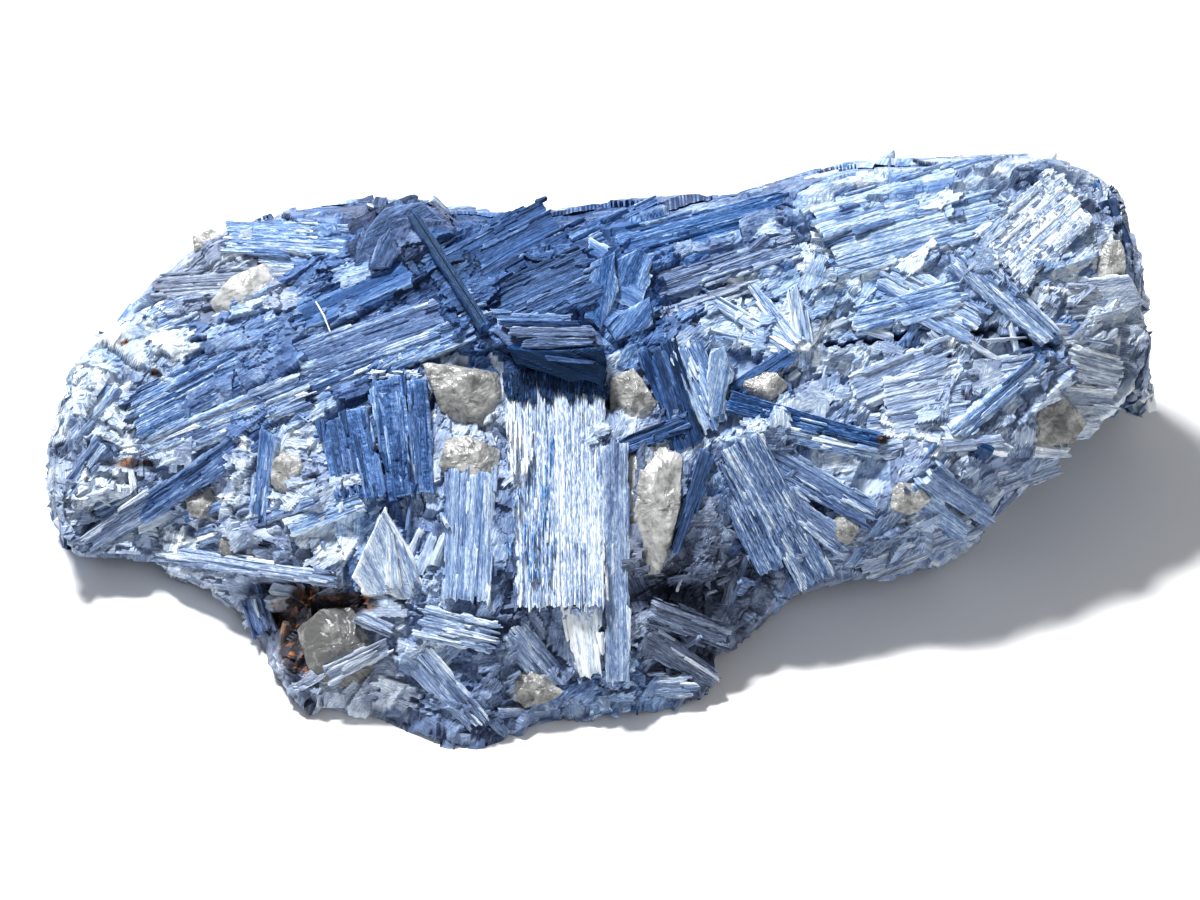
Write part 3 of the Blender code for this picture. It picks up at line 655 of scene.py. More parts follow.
def blade_lines(table):
    """Each blade's line on the mass behind it, by least squares of nine depths: start, slope, stand-outs."""
    across_1, up_1, across_2, up_2, out_1, out_2 = table[:, [0, 1, 2, 3, 7, 8]].T
    shares = np.linspace(0.1, 0.9, 9)
    line_across = across_1[:, None] + (across_2 - across_1)[:, None] * shares
    line_up = up_1[:, None] + (up_2 - up_1)[:, None] * shares
    slope, start = np.polyfit(shares, depth_at(line_across, line_up).T, 1)
    return start, slope, out_1 * STAND_OUT, out_2 * STAND_OUT


def rolled(rows):
    """The same rows with each blade's roll increased by the slant of the mass across its width."""
    table = np.array(rows, float)
    run = table[:, 2:4] - table[:, 0:2]
    left = np.stack([-run[:, 1], run[:, 0]], 1) / np.linalg.norm(run, axis=1)[:, None]
    shares, asides = np.meshgrid(np.linspace(0.1, 0.9, 7), np.linspace(-0.5, 0.5, 5))
    offset = asides.ravel() * table[:, 4, None]
    place = table[:, None, 0:2] + shares.ravel()[:, None] * run[:, None] + offset[..., None] * left[:, None]
    depth = depth_at(place[..., 0], place[..., 1])
    by_station = depth.reshape(-1, 5, 7)
    depth = depth - (by_station.mean(1)[:, None] + 0 * by_station).reshape(depth.shape)
    slant = (depth * offset).sum(1) / (offset**2).sum(1)
    table[:, 9] += np.clip(np.degrees(np.arctan(ROLL_SHARE * slant)), -ROLL_LIMIT, ROLL_LIMIT)
    return [tuple(row) for row in table]


def laid_blades(rows, seed):
    """Blades laid on the show side from rows of given values, in batches of one grid size."""
    batches = []
    chance = np.random.default_rng(seed)
    table = np.array(rows, float)
    across_1, up_1, across_2, up_2, width_1, width_2, thick, _, _, roll = table[:, :10].T
    start, slope, level_1, level_2 = blade_lines(table)
    near = show_place(across_1, up_1, start + level_1)
    far = show_place(across_2, up_2, start + slope + level_2)
    along = unit(far - near)
    turn = np.radians(roll)[:, None]
    outward = OUT * np.cos(turn) + np.cross(along, OUT) * np.sin(turn)
    tint, grey, streak, ribs, rim, lath, step, fray = table[:, 10:].T
    looks = np.stack([tint, grey, 0 * tint, streak, ribs, rim], 1)
    reach = np.linalg.norm(far - near, axis=1)
    stations = np.ceil(reach / GRID_ALONG / 4).astype(int) * 4 + 2
    columns = np.ceil(np.maximum(width_1, width_2) / GRID_ACROSS / 3).astype(int) * 3 + 2
    for rows, across in np.unique(np.stack([stations, columns], 1), axis=0):
        like = (stations == rows) & (columns == across)
        batches.append(slabs(near[like], far[like], outward[like], width_1[like], width_2[like], thick[like],
                             looks[like], lath[like], step[like], fray[like], chance, rows, across))
    return batches


# a splinter's thickness, the width of its laths and the step between them
SPLINTER_THICK, SPLINTER_LATH, SPLINTER_STEP = 1.2, 0.4, 0.15


def splinters(rows, seed, each=0.11, tints=(-0.22, 0.3), shares=(0.0, 1.0), wide=(0.5, 1.5), long=(3, 13),
              proud=0):
    """Rows of thin splinters lying on the faces of blades, `each` of them to a square millimetre.

    They lie over the given shares of the blade's length. A splinter's ends stand a little above the blade's
    own straight line, and its tint differs from the blade's by a draw from `tints`.
    """
    chance = np.random.default_rng(seed)
    laid = []
    for row in np.array(rows, float):
        length = np.hypot(*(row[2:4] - row[0:2]))
        count = int(each * length * (shares[1] - shares[0]) * (row[4] + row[5]) / 2)
        start, slope, level_1, level_2 = (value[0] for value in blade_lines(row[None]))
        middle = chance.uniform(*shares, count)
        reach = chance.uniform(*long, count) / length / 2
        near, far = np.clip(middle - reach, -0.02, 1.02), np.clip(middle + reach, -0.02, 1.02)
        width = row[4] + (row[5] - row[4]) * middle
        aside = chance.uniform(-0.5, 0.5, count) * width
        run = (row[2:4] - row[0:2]) / length
        offset = aside[:, None] * np.array([-run[1], run[0]])
        one = np.ones(count)
        tint = row[10] + chance.uniform(*tints, count)
        thread = np.column_stack([
            row[0:2] + near[:, None] * (row[2:4] - row[0:2]) + offset,
            row[0:2] + far[:, None] * (row[2:4] - row[0:2]) + offset,
            chance.uniform(*wide, count), chance.uniform(wide[0] / 2, wide[1] / 1.5, count),
            one * SPLINTER_THICK, 0 * one, 0 * one, one * row[9] + chance.normal(0, 8, count),
            tint, one * row[11], one * max(row[12], 0.1), 0 * one, chance.uniform(0, 0.2, count),
            one * SPLINTER_LATH, one * SPLINTER_STEP, chance.uniform(1, 4, count),
        ])
        own_start, own_slope, _, _ = blade_lines(thread)
        above = proud + chance.uniform(-0.1, 0.35, count) - np.abs(aside) * 0.02
        for column, share, own in ((7, near, own_start), (8, far, own_start + own_slope)):
            level = start + slope * share + level_1 + (level_2 - level_1) * share
            thread[:, column] = (level + above - own + np.tan(np.radians(row[9])) * aside) / STAND_OUT
        laid += list(thread)
    return laid


# Each row: root (across, up), tip (across, up), width at the root and the tip, thickness, stand-out at both,
# roll in degrees, tint (0 navy, 1 white), grey, streak, cross-ribs, pale rim, width of a lath, step between
# laths, fray of the ends.
CREST = rolled([
    (-33, 33, -8, 46, 15, 14, 9, 6, 9, 0, 0.21, 0.12, 0.12, 0, 0.1, 0.9, 0.3, 1.5),
    (-25, 26, 0, 37, 12, 12, 8, 6, 8, 0, 0.25, 0.2, 0.16, 0, 0.1, 0.7, 0.35, 4),
    (-23, 31, -68, 15, 9.6, 7.6, 9, 8, 5, 0, 0.46, 0.32, 0.16, 0.01, 0.1, 0.7, 0.35, 6),
    (-37, 38, -69, 23, 9, 6, 7, 8, 6, 14, 0.34, 0.05, 0.05, 0, 0.3, 2.4, 0.2, 3),
    (-26, 25, -60, 11, 6, 5.3, 7, 6, 3, -10, 0.56, 0.15, 0.2, 0, 0.1, 0.6, 0.4, 5),
    (-22, 26, -5, 26, 4, 3.5, 6, 9, 8, 0, 0.56, 0.15, 0.1, 0, 0.2, 1, 0.3, 2),
    (-5, 40, 10, 31, 10, 8.8, 6, 6, 5, 10, 0.42, 0.05, 0.06, 0.02, 0.3, 2.4, 0.3, 4),
    (-4, 30, 11, 25, 7, 6.2, 6, 6, 4, -12, 0.46, 0.05, 0.06, 0.02, 0.3, 2.2, 0.3, 4),
    (-38, 48, -23, 25, 2.6, 2.3, 7, 17, 15, 0, -0.08, 0.05, 0.08, 0, 0.4, 1.2, 0.15, 0.5),
])
slab_piece("crest_blades", laid_blades(CREST + splinters(CREST[:6], 121), 21))

# ================================================================ blades of the left arm
# Left of the crest the blades thin out, run down to the tip and turn paler and more splintery.
# They are kyanite, grown into the body along their whole length.
LEFT_ARM = rolled([
    (-62, 23, -96, 6, 13, 10, 7, 7, 5, 0, 0.49, 0.12, 0.26, 0.02, 0.1, 0.9, 0.6, 5),
    (-58, 13, -93, -1, 8, 7, 6, 6, 5, -8, 0.66, 0.3, 0.18, 0.02, 0.1, 0.9, 0.6, 5),
    (-67, 5, -95, -14, 6.5, 5.5, 6, 6, 5, 0, 0.34, 0.2, 0.12, 0, 0.15, 1.1, 0.6, 4),
    (-88, -9, -105, -20, 6, 3.5, 7, 4, 3, 0, 0.48, 0.65, 0.12, 0, 0.15, 1, 0.6, 3),
    (-50, 42.5, -77, 44, 8, 7.5, 7, 6, 6, 0, 0.62, 0.18, 0.22, 0, 0.15, 1.2, 0.5, 3),
    (-54, 37, -70, 39, 5, 4.4, 5, 3, 3, 0, 0.66, 0.2, 0.12, 0, 0.15, 1, 0.6, 3),
    (-47, 40, -60, 37, 5, 4.4, 5, 5, 4, 20, 0.68, 0.2, 0.1, 0, 0.2, 1.2, 0.6, 3),
    (-60, 35, -92, 33, 6, 5.3, 5, 3, 3, 0, 0.5, 0.9, 0.14, 0, 0.1, 0.8, 0.6, 4),
    (-72, 27, -96, 17, 7, 5.3, 5, 4, 3, 0, 0.76, 0.3, 0.14, 0, 0.1, 0.9, 0.7, 4),
    (-80, 31, -97, 24, 6, 5.3, 5, 2, 2, 0, 0.64, 0.25, 0.14, 0, 0.1, 0.9, 0.7, 4),
    (-98, 14, -108, 2, 5, 4.4, 6, 1, 0, 0, 0.66, 0.35, 0.12, 0, 0.1, 0.9, 0.7, 3),
    (-100, 2, -109, -9, 6, 3, 6, 1, 0, 0, 0.6, 0.35, 0.12, 0, 0.1, 0.9, 0.7, 3),
    (-84, -4, -103, -14, 6, 5.3, 5, 1, 1, 0, 0.56, 0.3, 0.12, 0, 0.1, 0.9, 0.7, 3),
])
slab_piece("left_arm_blades", laid_blades(LEFT_ARM + splinters(LEFT_ARM, 122), 22))

# ================================================================ the silver blade
# The widest flat blade is a sheaf of parallel fibres, painted silvery white, partly its own pale tone and
# partly a painted highlight, and blue low in its middle. Navy threads over its top are painted shadow of the
# plate above it.
SILVER = [
    # the sheaf's pale silvery tint is partly its own tone and partly a painted highlight
    (-9, 16, -8, -32, 20.5, 18, 9, 3, 7, 0, 0.76, 0.36, 0.45, 0, 0.05, 0.5, 0.35, 2),
    (3, 2, 3.5, -47, 6, 5.3, 9, 7, 8, 0, 0.63, 0.42, 0.12, 0.1, 0.15, 0.9, 0.4, 1.5),
    (-4.5, -30, -2, -46, 8, 5, 7, 8, 9, 12, 0.95, 0.45, 0.08, 0, 0.1, 0.9, 0.4, 2),
    (-26, -3, -27, -31, 11, 9.7, 7, 3, 4, 0, 0.6, 0.3, 0.12, 0.03, 0.1, 1.3, 0.6, 3),
]
SHEAF = SILVER[0]
BLUE_LOOK = SHEAF[6:11] + (-0.45,) + SHEAF[12:]
GREY_LOOK = SHEAF[6:11] + (1.0,) + SHEAF[12:]
# threads of the sheaf: the line they follow as a blade row, then seed, number to a square millimetre, tints,
# shares of the line, widths, lengths and how proud they stand
SHEAF_THREADS = [
    (SHEAF, 123, 0.16, (-0.3, 0.2), (0.1, 1), (0.4, 1), (4, 16)),
    ((-11.5, 5, -12, -26, 5, 7) + BLUE_LOOK, 124, 0.24, (-0.22, 0), (0, 1), (0.25, 0.6), (2, 9)),
    ((-17.5, -7, -17, -21, 3, 4) + BLUE_LOOK, 127, 0.26, (-0.22, 0), (0, 1), (0.25, 0.6), (2, 6)),
    ((-3, 8, -1.5, -30, 8, 6) + GREY_LOOK, 128, 0.4, (-0.45, 0.05), (0, 1), (0.3, 0.8), (3, 12)),
    ((-16, 7, -16, -5, 6, 5) + GREY_LOOK, 129, 0.4, (0, 0.45), (0, 1), (0.3, 0.8), (3, 8)),
    # navy threads over the top tenth of the sheaf: painted shadow cast by the overhanging plate
    (SHEAF[:11] + (0.1,) + SHEAF[12:], 125, 1.3, (-0.8, -0.66), (0, 0.1), (0.6, 2.2), (2, 7), 0.6),
]
THREADS = sum((splinters([line], *spread) for line, *spread in SHEAF_THREADS), [])
slab_piece("silver_blades", laid_blades(SILVER + THREADS + splinters(SILVER[1:], 126), 23))

# ================================================================ cross-ribbed and crossed blades
# Short stout blades stand upright beside it, crossed by fine partings. Smaller ones lie across each other
# below.
CROSS_RIBBED = rolled([
    (-50, 9, -46, -10, 6.4, 5.8, 7, 5.5, 7.5, 0, 0.3, 0.12, 0.08, 0.34, 0.3, 1.6, 0.4, 2),
    (-43, 15, -40, -10, 7, 6.2, 7, 6, 5, 0, 0.32, 0.1, 0.08, 0.38, 0.3, 1.8, 0.4, 1.5),
    (-37, 15, -35, -9, 5, 4.4, 6, 5, 4, 0, 0.36, 0.12, 0.08, 0.34, 0.3, 1.6, 0.4, 2),
    (-54.5, 7, -51, -10, 5.5, 5, 7, 5.5, 7.5, 0, 0.28, 0.15, 0.08, 0.24, 0.25, 1.5, 0.5, 2),
    (-67, 5, -69, -15, 4.4, 3.9, 6, 6, 5, 0, 0.46, 0.15, 0.1, 0.03, 0.2, 1.2, 0.5, 3),
    (-82, -18, -57, -10, 4, 3, 5, 4, 5, 0, 0.62, 0.3, 0.12, 0, 0.2, 1, 0.5, 3),
    (-64, -16, -47, -10, 4.6, 3.2, 5, 5, 8, 0, 0.66, 0.15, 0.12, 0, 0.2, 1, 0.5, 3),
    (-85, -14, -70, -9, 3, 1.5, 5, 2, 3, 0, 0.52, 0.15, 0.12, 0, 0.2, 1, 0.5, 2),
    (-96, -20, -53, -26, 4, 3.5, 6, 4, 5, -20, 0.66, 0.5, 0.14, 0.03, 0.1, 0.9, 0.6, 4),
    (-72, -26, -68, -38, 6, 5.3, 6, 2, 1, 0, 0.4, 0.35, 0.1, 0, 0.1, 1.2, 0.6, 3),
])
TALLEST = CROSS_RIBBED[1][6:]
# chips on the tallest blade: columns as for the threads of the sheaf
BLADE_CHIPS = [
    ((-43.4, 14, -42.4, 4, 6, 6) + TALLEST, 134, 0.4, (0.08, 0.3), (0, 1), (0.6, 1.8), (1.5, 5)),
    ((-47, 15, -36, 15.2, 1.4, 1.2) + TALLEST, 136, 2.2, (0.4, 0.6), (0, 1), (0.5, 1.2), (1, 4)),
    ((-42, 1, -40, -9, 6, 6) + TALLEST, 135, 0.3, (-0.22, -0.04), (0, 1), (0.6, 1.8), (2, 6)),
]
CHIPS = sum((splinters([line], *spread) for line, *spread in BLADE_CHIPS), []) + splinters(CROSS_RIBBED, 124)
slab_piece("cross_ribbed_blades", laid_blades(CROSS_RIBBED + CHIPS, 24))

# ================================================================ the fan
# Right of the silver blade navy and pale blades spread like the ribs of a fan from one place.
# They are kyanite, and grow out of the body where they meet.
FAN = rolled([
    (11, 22, 18, 0, 8.4, 6.4, 8, 7, 5, 8, 0.06, 0.1, 0.1, 0, 0.25, 1.8, 0.35, 2),
    (17, 22, 24, 4, 8, 7, 8, 7, 4, 0, 0.62, 0.15, 0.12, 0, 0.15, 1.5, 0.4, 2),
    (24, 21, 23, 6, 3.6, 2, 7, 8, 5, 0, 0.56, 0.15, 0.1, 0, 0.2, 1.5, 0.3, 1),
    (18, 6, 2, 0, 4.5, 3, 6, 7, 7, 0, 0.14, 0.15, 0.1, 0, 0.3, 1.5, 0.35, 2),
    (22, 0, 15, -21, 4, 1.6, 6, 7, 6, 0, 0.1, 0.15, 0.08, 0, 0.3, 1.5, 0.3, 1),
    (28, 2, 44, -27, 10, 8, 9, 6, 8, 0, 0.53, 0.3, 0.34, 0.02, 0.15, 1, 0.4, 1.5),
    (24, -2, 35, -25, 8, 6, 8, 5, 6, 10, 0.5, 0.28, 0.3, 0.03, 0.15, 1.1, 0.45, 2),
    (25, 10, 57, 2, 5, 2.5, 7, 6, 5, 0, 0.3, 0, 0.3, 0, 0.2, 1, 0.4, 2.5),
    (28, 5, 57, -1, 4.5, 2, 6, 5, 5, 0, 0.68, 0.2, 0.16, 0, 0.2, 1, 0.4, 2.5),
    (26, 11, 39, 20, 4.5, 3, 6, 5, 4, 0, 0.2, 0.05, 0.1, 0, 0.3, 1.4, 0.35, 2),
    (34, -1, 56, -14, 7, 6.2, 6, 4, 5, 0, 0.5, 0.35, 0.16, 0.02, 0.2, 1.1, 0.5, 3),
    (31, -5, 50, -20, 6, 5.3, 6, 4, 5, 0, 0.54, 0.4, 0.16, 0.02, 0.2, 1.1, 0.5, 3),
])
slab_piece("fan_blades", laid_blades(FAN + splinters(FAN, 125), 25))

# ================================================================ blades along the top
# Behind the fan pointed blue blades lie almost level, layered with greyer ones over dark gaps.
# They are kyanite, grown into the body and over each other.
TOP_MIDDLE = rolled([
    (-5, 41.5, 12.5, 50.4, 8.5, 6.5, 8, 5.5, 5, 0, 0.42, 0.05, 0.14, 0, 0.15, 1.2, 0.5, 2),
    (3, 39.2, 39, 49, 11.5, 9.5, 8, 4, 3, 0, 0.36, 0, 0.22, 0, 0.15, 1.2, 0.5, 3),
    (10, 32, 40, 42, 6, 5.3, 6, 3, 2, 0, 0.46, 0.5, 0.18, 0, 0.1, 0.8, 0.7, 4),
    (12, 27, 33, 34, 4, 2.5, 5, 2, 2, 0, 0.5, 0.75, 0.14, 0, 0.1, 0.8, 0.6, 3),
    (40, 20, 20, 32, 4, 2, 5, 3, 3, 0, 0.7, 0.2, 0.12, 0, 0.15, 1, 0.5, 2),
    (40, 20, 17, 25, 4, 2, 5, 3, 3, 0, 0.66, 0.2, 0.12, 0, 0.15, 1, 0.5, 2),
    (40, 21, 30, 34, 4, 2, 5, 3, 3, 0, 0.74, 0.2, 0.12, 0, 0.15, 1, 0.5, 2),
    (41, 21, 39, 34, 4, 2, 5, 3, 3, 0, 0.68, 0.2, 0.12, 0, 0.15, 1, 0.5, 2),
])
slab_piece("top_blades", laid_blades(TOP_MIDDLE + splinters(TOP_MIDDLE, 126), 26))

# ================================================================ blades of the right block
# The right shoulder is a thick silvery sheaf with blue seams, ending in a near-white plate that is partly its
# own pale tone and partly a painted sheen.
# It is kyanite whose laths lie side by side, grown together with the body.
RIGHT_BLOCK = rolled([
    (42, 46, 80, 57, 9, 7.9, 8, 1.5, 1.5, 0, 0.7, 0.2, 0.1, 0, 0.15, 1, 0.5, 4),
    (46, 39, 82, 49, 10, 8.8, 7, 1.6, 1.2, 0, 0.66, 0.2, 0.12, 0, 0.15, 1, 0.5, 4),
    # the near-white plate: partly its own pale tone and partly a painted sheen
    (80, 38, 96, 52, 16, 14.1, 9, 2.5, 2.5, 0, 0.81, 0.5, 0.2, 0.26, 0.05, 1.7, 0.35, 2),
    (72, 40, 92, 22, 8, 6, 8, 1.6, 2, 0, 0.66, 0.3, 0.22, 0, 0.15, 1.1, 0.5, 3),
    (56, 36, 77, 24, 10, 8.8, 7, 1.2, 1.2, 0, 0.7, 0.25, 0.14, 0, 0.15, 1.1, 0.6, 4),
    (50, 26, 74, 32, 7, 6.2, 6, 1, 2, 0, 0.66, 0.15, 0.14, 0, 0.15, 1.1, 0.6, 4),
    (100, 55, 103, 41, 4, 2, 6, 1, 1, 0, 0.4, 0.15, 0.12, 0, 0.25, 1.4, 0.4, 2),
    (102.5, 51, 107.5, 40, 5, 3, 7, 3, 2.5, 0, 0.12, 0.3, 0.08, 0, 0.3, 1.6, 0.3, 1),
    (94, 30, 110, 31, 8, 5, 9, 2, 1, 0, 0.67, 0.85, 0.14, 0, 0.1, 1, 0.7, 3),
    (92, 23, 105, 25, 5, 4.4, 7, 1, 1, 0, 0.66, 0.85, 0.14, 0, 0.1, 1, 0.7, 3),
])
CRACKLE = splinters(RIGHT_BLOCK[2:3], 137, 0.5, (-0.3, 0.16), (0, 1), (0.6, 2.0), (1, 3.5))
SEAMS = splinters(RIGHT_BLOCK, 127, 0.09, (-0.25, 0.1))
slab_piece("right_block_blades", laid_blades(RIGHT_BLOCK + SEAMS + CRACKLE, 27))

# ================================================================ blades of the lower right
# Below the open crack the sheaf is pale in front and breaks off along a ridge, with greyer ledges beyond it.
# The laths of kyanite run on here, and the ledges are where they have snapped.
LOWER_RIGHT = rolled([
    (50, 11, 72, 20, 9, 7.9, 7, 1.5, 1, 0, 0.67, 0.52, 0.08, 0, 0.15, 1.1, 0.6, 4),
    (56, 10, 88, 17, 9, 7.9, 7, 1, 1, 0, 0.64, 0.58, 0.08, 0, 0.15, 1.1, 0.6, 4),
    (52, 2, 76, 6, 10, 8.8, 7, 1.5, 1, 0, 0.65, 0.5, 0.08, 0, 0.15, 1.1, 0.6, 4),
    (90, 18, 71, 2, 5, 4.4, 8, 4, 4, -15, 0.64, 0.15, 0.14, 0, 0.2, 1.1, 0.6, 3),
    (69, 0, 50, -24, 5, 3, 8, 3, 3, -15, 0.58, 0.25, 0.14, 0, 0.2, 1.1, 0.6, 3),
    (66, -5, 80, -15, 7, 4, 8, 3, 4, 0, 0.52, 0.35, 0.16, 0, 0.2, 1.2, 0.5, 3),
    (61, -8, 75, -18, 7, 4, 7, 3, 4, 0, 0.54, 0.35, 0.16, 0, 0.2, 1.2, 0.5, 3),
    (52, -25, 77, -15, 7, 6.2, 7, 2, 2, 0, 0.6, 0.85, 0.12, 0, 0.1, 1, 0.7, 4),
    (94, 18, 107, 15, 8, 7, 9, 2, 1, 0, 0.74, 0.85, 0.14, 0, 0.1, 0.9, 0.8, 3),
    (92, 11, 106, 10, 6, 5.3, 8, 2, 1, 0, 0.72, 0.85, 0.14, 0, 0.1, 0.9, 0.8, 3),
    (90, 4, 102, 4, 6, 5.3, 7, 2, 1, 0, 0.7, 0.85, 0.14, 0, 0.1, 0.9, 0.8, 3),
    (80, -7, 94, -2, 6, 5.3, 6, 2, 1, 0, 0.6, 0.75, 0.14, 0, 0.1, 0.9, 0.8, 3),
])
LEDGES = splinters(LOWER_RIGHT, 128, 0.06, (-0.25, 0.1))
slab_piece("lower_right_blades", laid_blades(LOWER_RIGHT + LEDGES, 28))

# ================================================================ blades of the foot
# Where the specimen rests, short broken blades point down and outwards.
# They are stubs of kyanite, snapped close to the body.
FOOT = rolled([
    (-40, -38, -24, -56, 8, 5, 7, 3, 2, 0, 0.58, 0.5, 0.14, 0, 0.15, 1.1, 0.6, 3),
    (-26, -49, -18, -58, 5, 2.5, 6, 2, 1, 0, 0.56, 0.5, 0.14, 0, 0.15, 1.1, 0.6, 3),
    (-60, -40, -44, -48, 10, 8.8, 7, 3, 1, 0, 0.62, 0.9, 0.12, 0, 0.1, 1.1, 0.7, 4),
    (-38, -34, -20, -38, 8, 7, 7, 4, 5, 0, 0.6, 0.5, 0.14, 0, 0.15, 1.1, 0.6, 4),
    (-8, -48, 20, -48, 6, 5.3, 7, 3, 2, 0, 0.58, 0.5, 0.14, 0, 0.15, 1.1, 0.6, 4),
    (8, -37, 24, -47, 8, 4, 7, 4, 1, 0, 0.38, 0.8, 0.12, 0, 0.15, 1.1, 0.7, 3),
    (10, -32, 27, -38, 6, 5.3, 6, 4, 2, 0, 0.3, 0.8, 0.12, 0, 0.15, 1.1, 0.7, 3),
    (-18, -36, -8, -48, 8, 7, 7, 4, 2, 0, 0.56, 0.45, 0.14, 0, 0.15, 1.1, 0.6, 3),
    (28, -28, 40, -30, 5, 2.5, 6, 2, 2, 0, 0.46, 0.45, 0.14, 0, 0.15, 1.1, 0.6, 2),
    (-56, -46, -42, -39, 5, 4, 5, 10, 9, 0, 0.6, 0.8, 0.14, 0, 0.15, 1, 0.6, 3),
    (-50, -33, -41, -37, 4, 3, 5, 10, 8, 0, 0.56, 0.6, 0.14, 0, 0.15, 1, 0.6, 3),
])
slab_piece("foot_blades", laid_blades(FOOT + splinters(FOOT, 129), 29))

# ================================================================ broken plates of the crest
# Wide cleavage plates lie over the blades of the crest: a dark overhanging one, and glassy blue shards beside
# it.
# The overhang's underside is tinted deep navy, partly its own colour and partly painted shade. Each is one
# thin split of a larger blade, broken off along its own outline.
# Each plate: thickness, tint, grey, then its outline (across, up, out).
PLATES = [
    (4.5, 0.24, 0.4, [
        (-22, 24, 5), (-19, 25.6, 5), (-15, 26.6, 6), (-12, 26.2, 6), (-9, 26.8, 6), (-5, 25.6, 6),
        (-2, 26, 6), (0, 23.6, 8), (1.2, 21, 9), (-3, 20.2, 9), (-8, 19.3, 9), (-13, 20.4, 8), (-18, 20, 8)]),
    # the overhang's underside: deep navy, partly its own colour and partly painted shade
    (4.5, -0.14, -0.1, [
        (-19, 20.5, 8), (-14, 20.2, 8.6), (-8, 20, 9.2), (-3, 20.6, 9), (1, 21, 9), (1.6, 17, 8),
        (0.5, 12.6, 7), (-3, 13.9, 7), (-6, 13.2, 7), (-10, 14.6, 7), (-14, 15.6, 7), (-17, 17, 7)]),
    (7, 0.16, 0.35, [
        (-50, 37, 5), (-47.5, 45, 5), (-44, 50, 4), (-36, 50.5, 4), (-32.5, 47, 5), (-33.5, 42, 6.5),
        (-37, 37.5, 7), (-42, 36.5, 7)]),
    (3, 0.64, 0.55, [
        (-46.5, 48, 6), (-44, 51.4, 5), (-40, 51.8, 5), (-35, 51.6, 5), (-32.5, 49.3, 6), (-36, 47.4, 7),
        (-41, 47.6, 7)]),
    (4, 0.34, 0.3, [(-47, 36.5, 7.2), (-45, 43, 6.8), (-42.5, 45, 6.6), (-40.5, 40, 7.4), (-42, 36.5, 7.8)]),
    (5, 0.44, 0.08, [(-5, 30, 4), (-2, 38, 4), (3, 40, 4), (4, 31, 5), (0, 24, 6)]),
    (5, 0.42, 0.08, [(2, 38, 3), (8, 41, 3), (11, 38, 4), (8, 29, 5), (3, 28, 4)]),
    (4, 0.46, 0.1, [(0, 26, 4), (10, 31, 4), (11, 25, 5), (3, 22, 5)]),
    (6, 0.74, 0.45, [
        (-43, -11, 6), (-46, -17, 5), (-48.4, -22, 4.4), (-50.6, -26, 3), (-47, -30, 3), (-43, -29, 3),
        (-40, -30.4, 3), (-34, -29, 3), (-36, -25, 4.4), (-37, -21, 5), (-39.4, -17, 5.6)]),
    (5, 0.6, 0.15, [(22, 20, 6), (25, 21, 7), (27, 15, 6), (25, 7, 5), (22, 6, 5), (21, 14, 6)]),
    (6, 0.58, 0.8, [(96, 35, 2), (107, 36, 1), (110, 30, 0), (104, 26, 0), (95, 28, 1)]),
]
# split layers on the overhang and on the pale plate, and one pale hair: columns as for the blades
SPLITS = [
    (-21, 25.4, -3, 25.4, 1.6, 1.4, 3, 13, 14, 0, 0.12, 0.15, 0.12, 0, 0.3, 0.7, 0.3, 3),
    (-20, 23.6, 0, 23.8, 2.6, 2, 3, 15, 16, 0, 0.44, 0.55, 0.16, 0, 0.2, 0.8, 0.3, 5),
    (-17, 21.4, 0.5, 21.8, 2.8, 1.8, 3, 16, 17, 0, 0.34, 0.5, 0.16, 0, 0.2, 0.8, 0.3, 5),
    (-12, 18.6, 0, 17.4, 1.2, 0.8, 2, 15, 15, 0, 0.2, 0.2, 0.1, 0, 0.2, 0.7, 0.2, 3),
    (-43.4, -12.5, -47.6, -28, 2, 3.6, 2, 10.6, 6.4, 0, 0.6, 0.5, 0.14, 0.02, 0.3, 0.9, 0.4, 4),
    (-42.2, -14, -41.4, -29, 1.6, 3.8, 2, 10.2, 6.4, 0, 0.8, 0.5, 0.14, 0.02, 0.3, 0.9, 0.4, 4),
    (-40.6, -17, -36.6, -28, 1.2, 3, 2, 9.6, 6.4, 0, 0.66, 0.4, 0.14, 0.02, 0.3, 0.9, 0.4, 4),
    (-57.4, 30, -55.6, 27, 0.35, 0.35, 0.3, 12, 12.5, 0, 1, 0.8, 0, 0, 0, 0.3, 0, 0.1),
    (-55.7, 27.1, -54.4, 23.8, 0.35, 0.3, 0.3, 12.5, 11.5, 0, 1, 0.8, 0, 0, 0, 0.3, 0, 0.1),
]
# the finish of a plate's face, its laths, and its grid
PLATE_STREAK, PLATE_RIBS, PLATE_RIM = 0.14, 0.01, 0.3
PLATE_LATH, PLATE_STEP, PLATE_FRAY = 1.3, 0.4, 0.4
PLATE_GRID_ALONG, PLATE_GRID_ACROSS = 0.6, 0.45


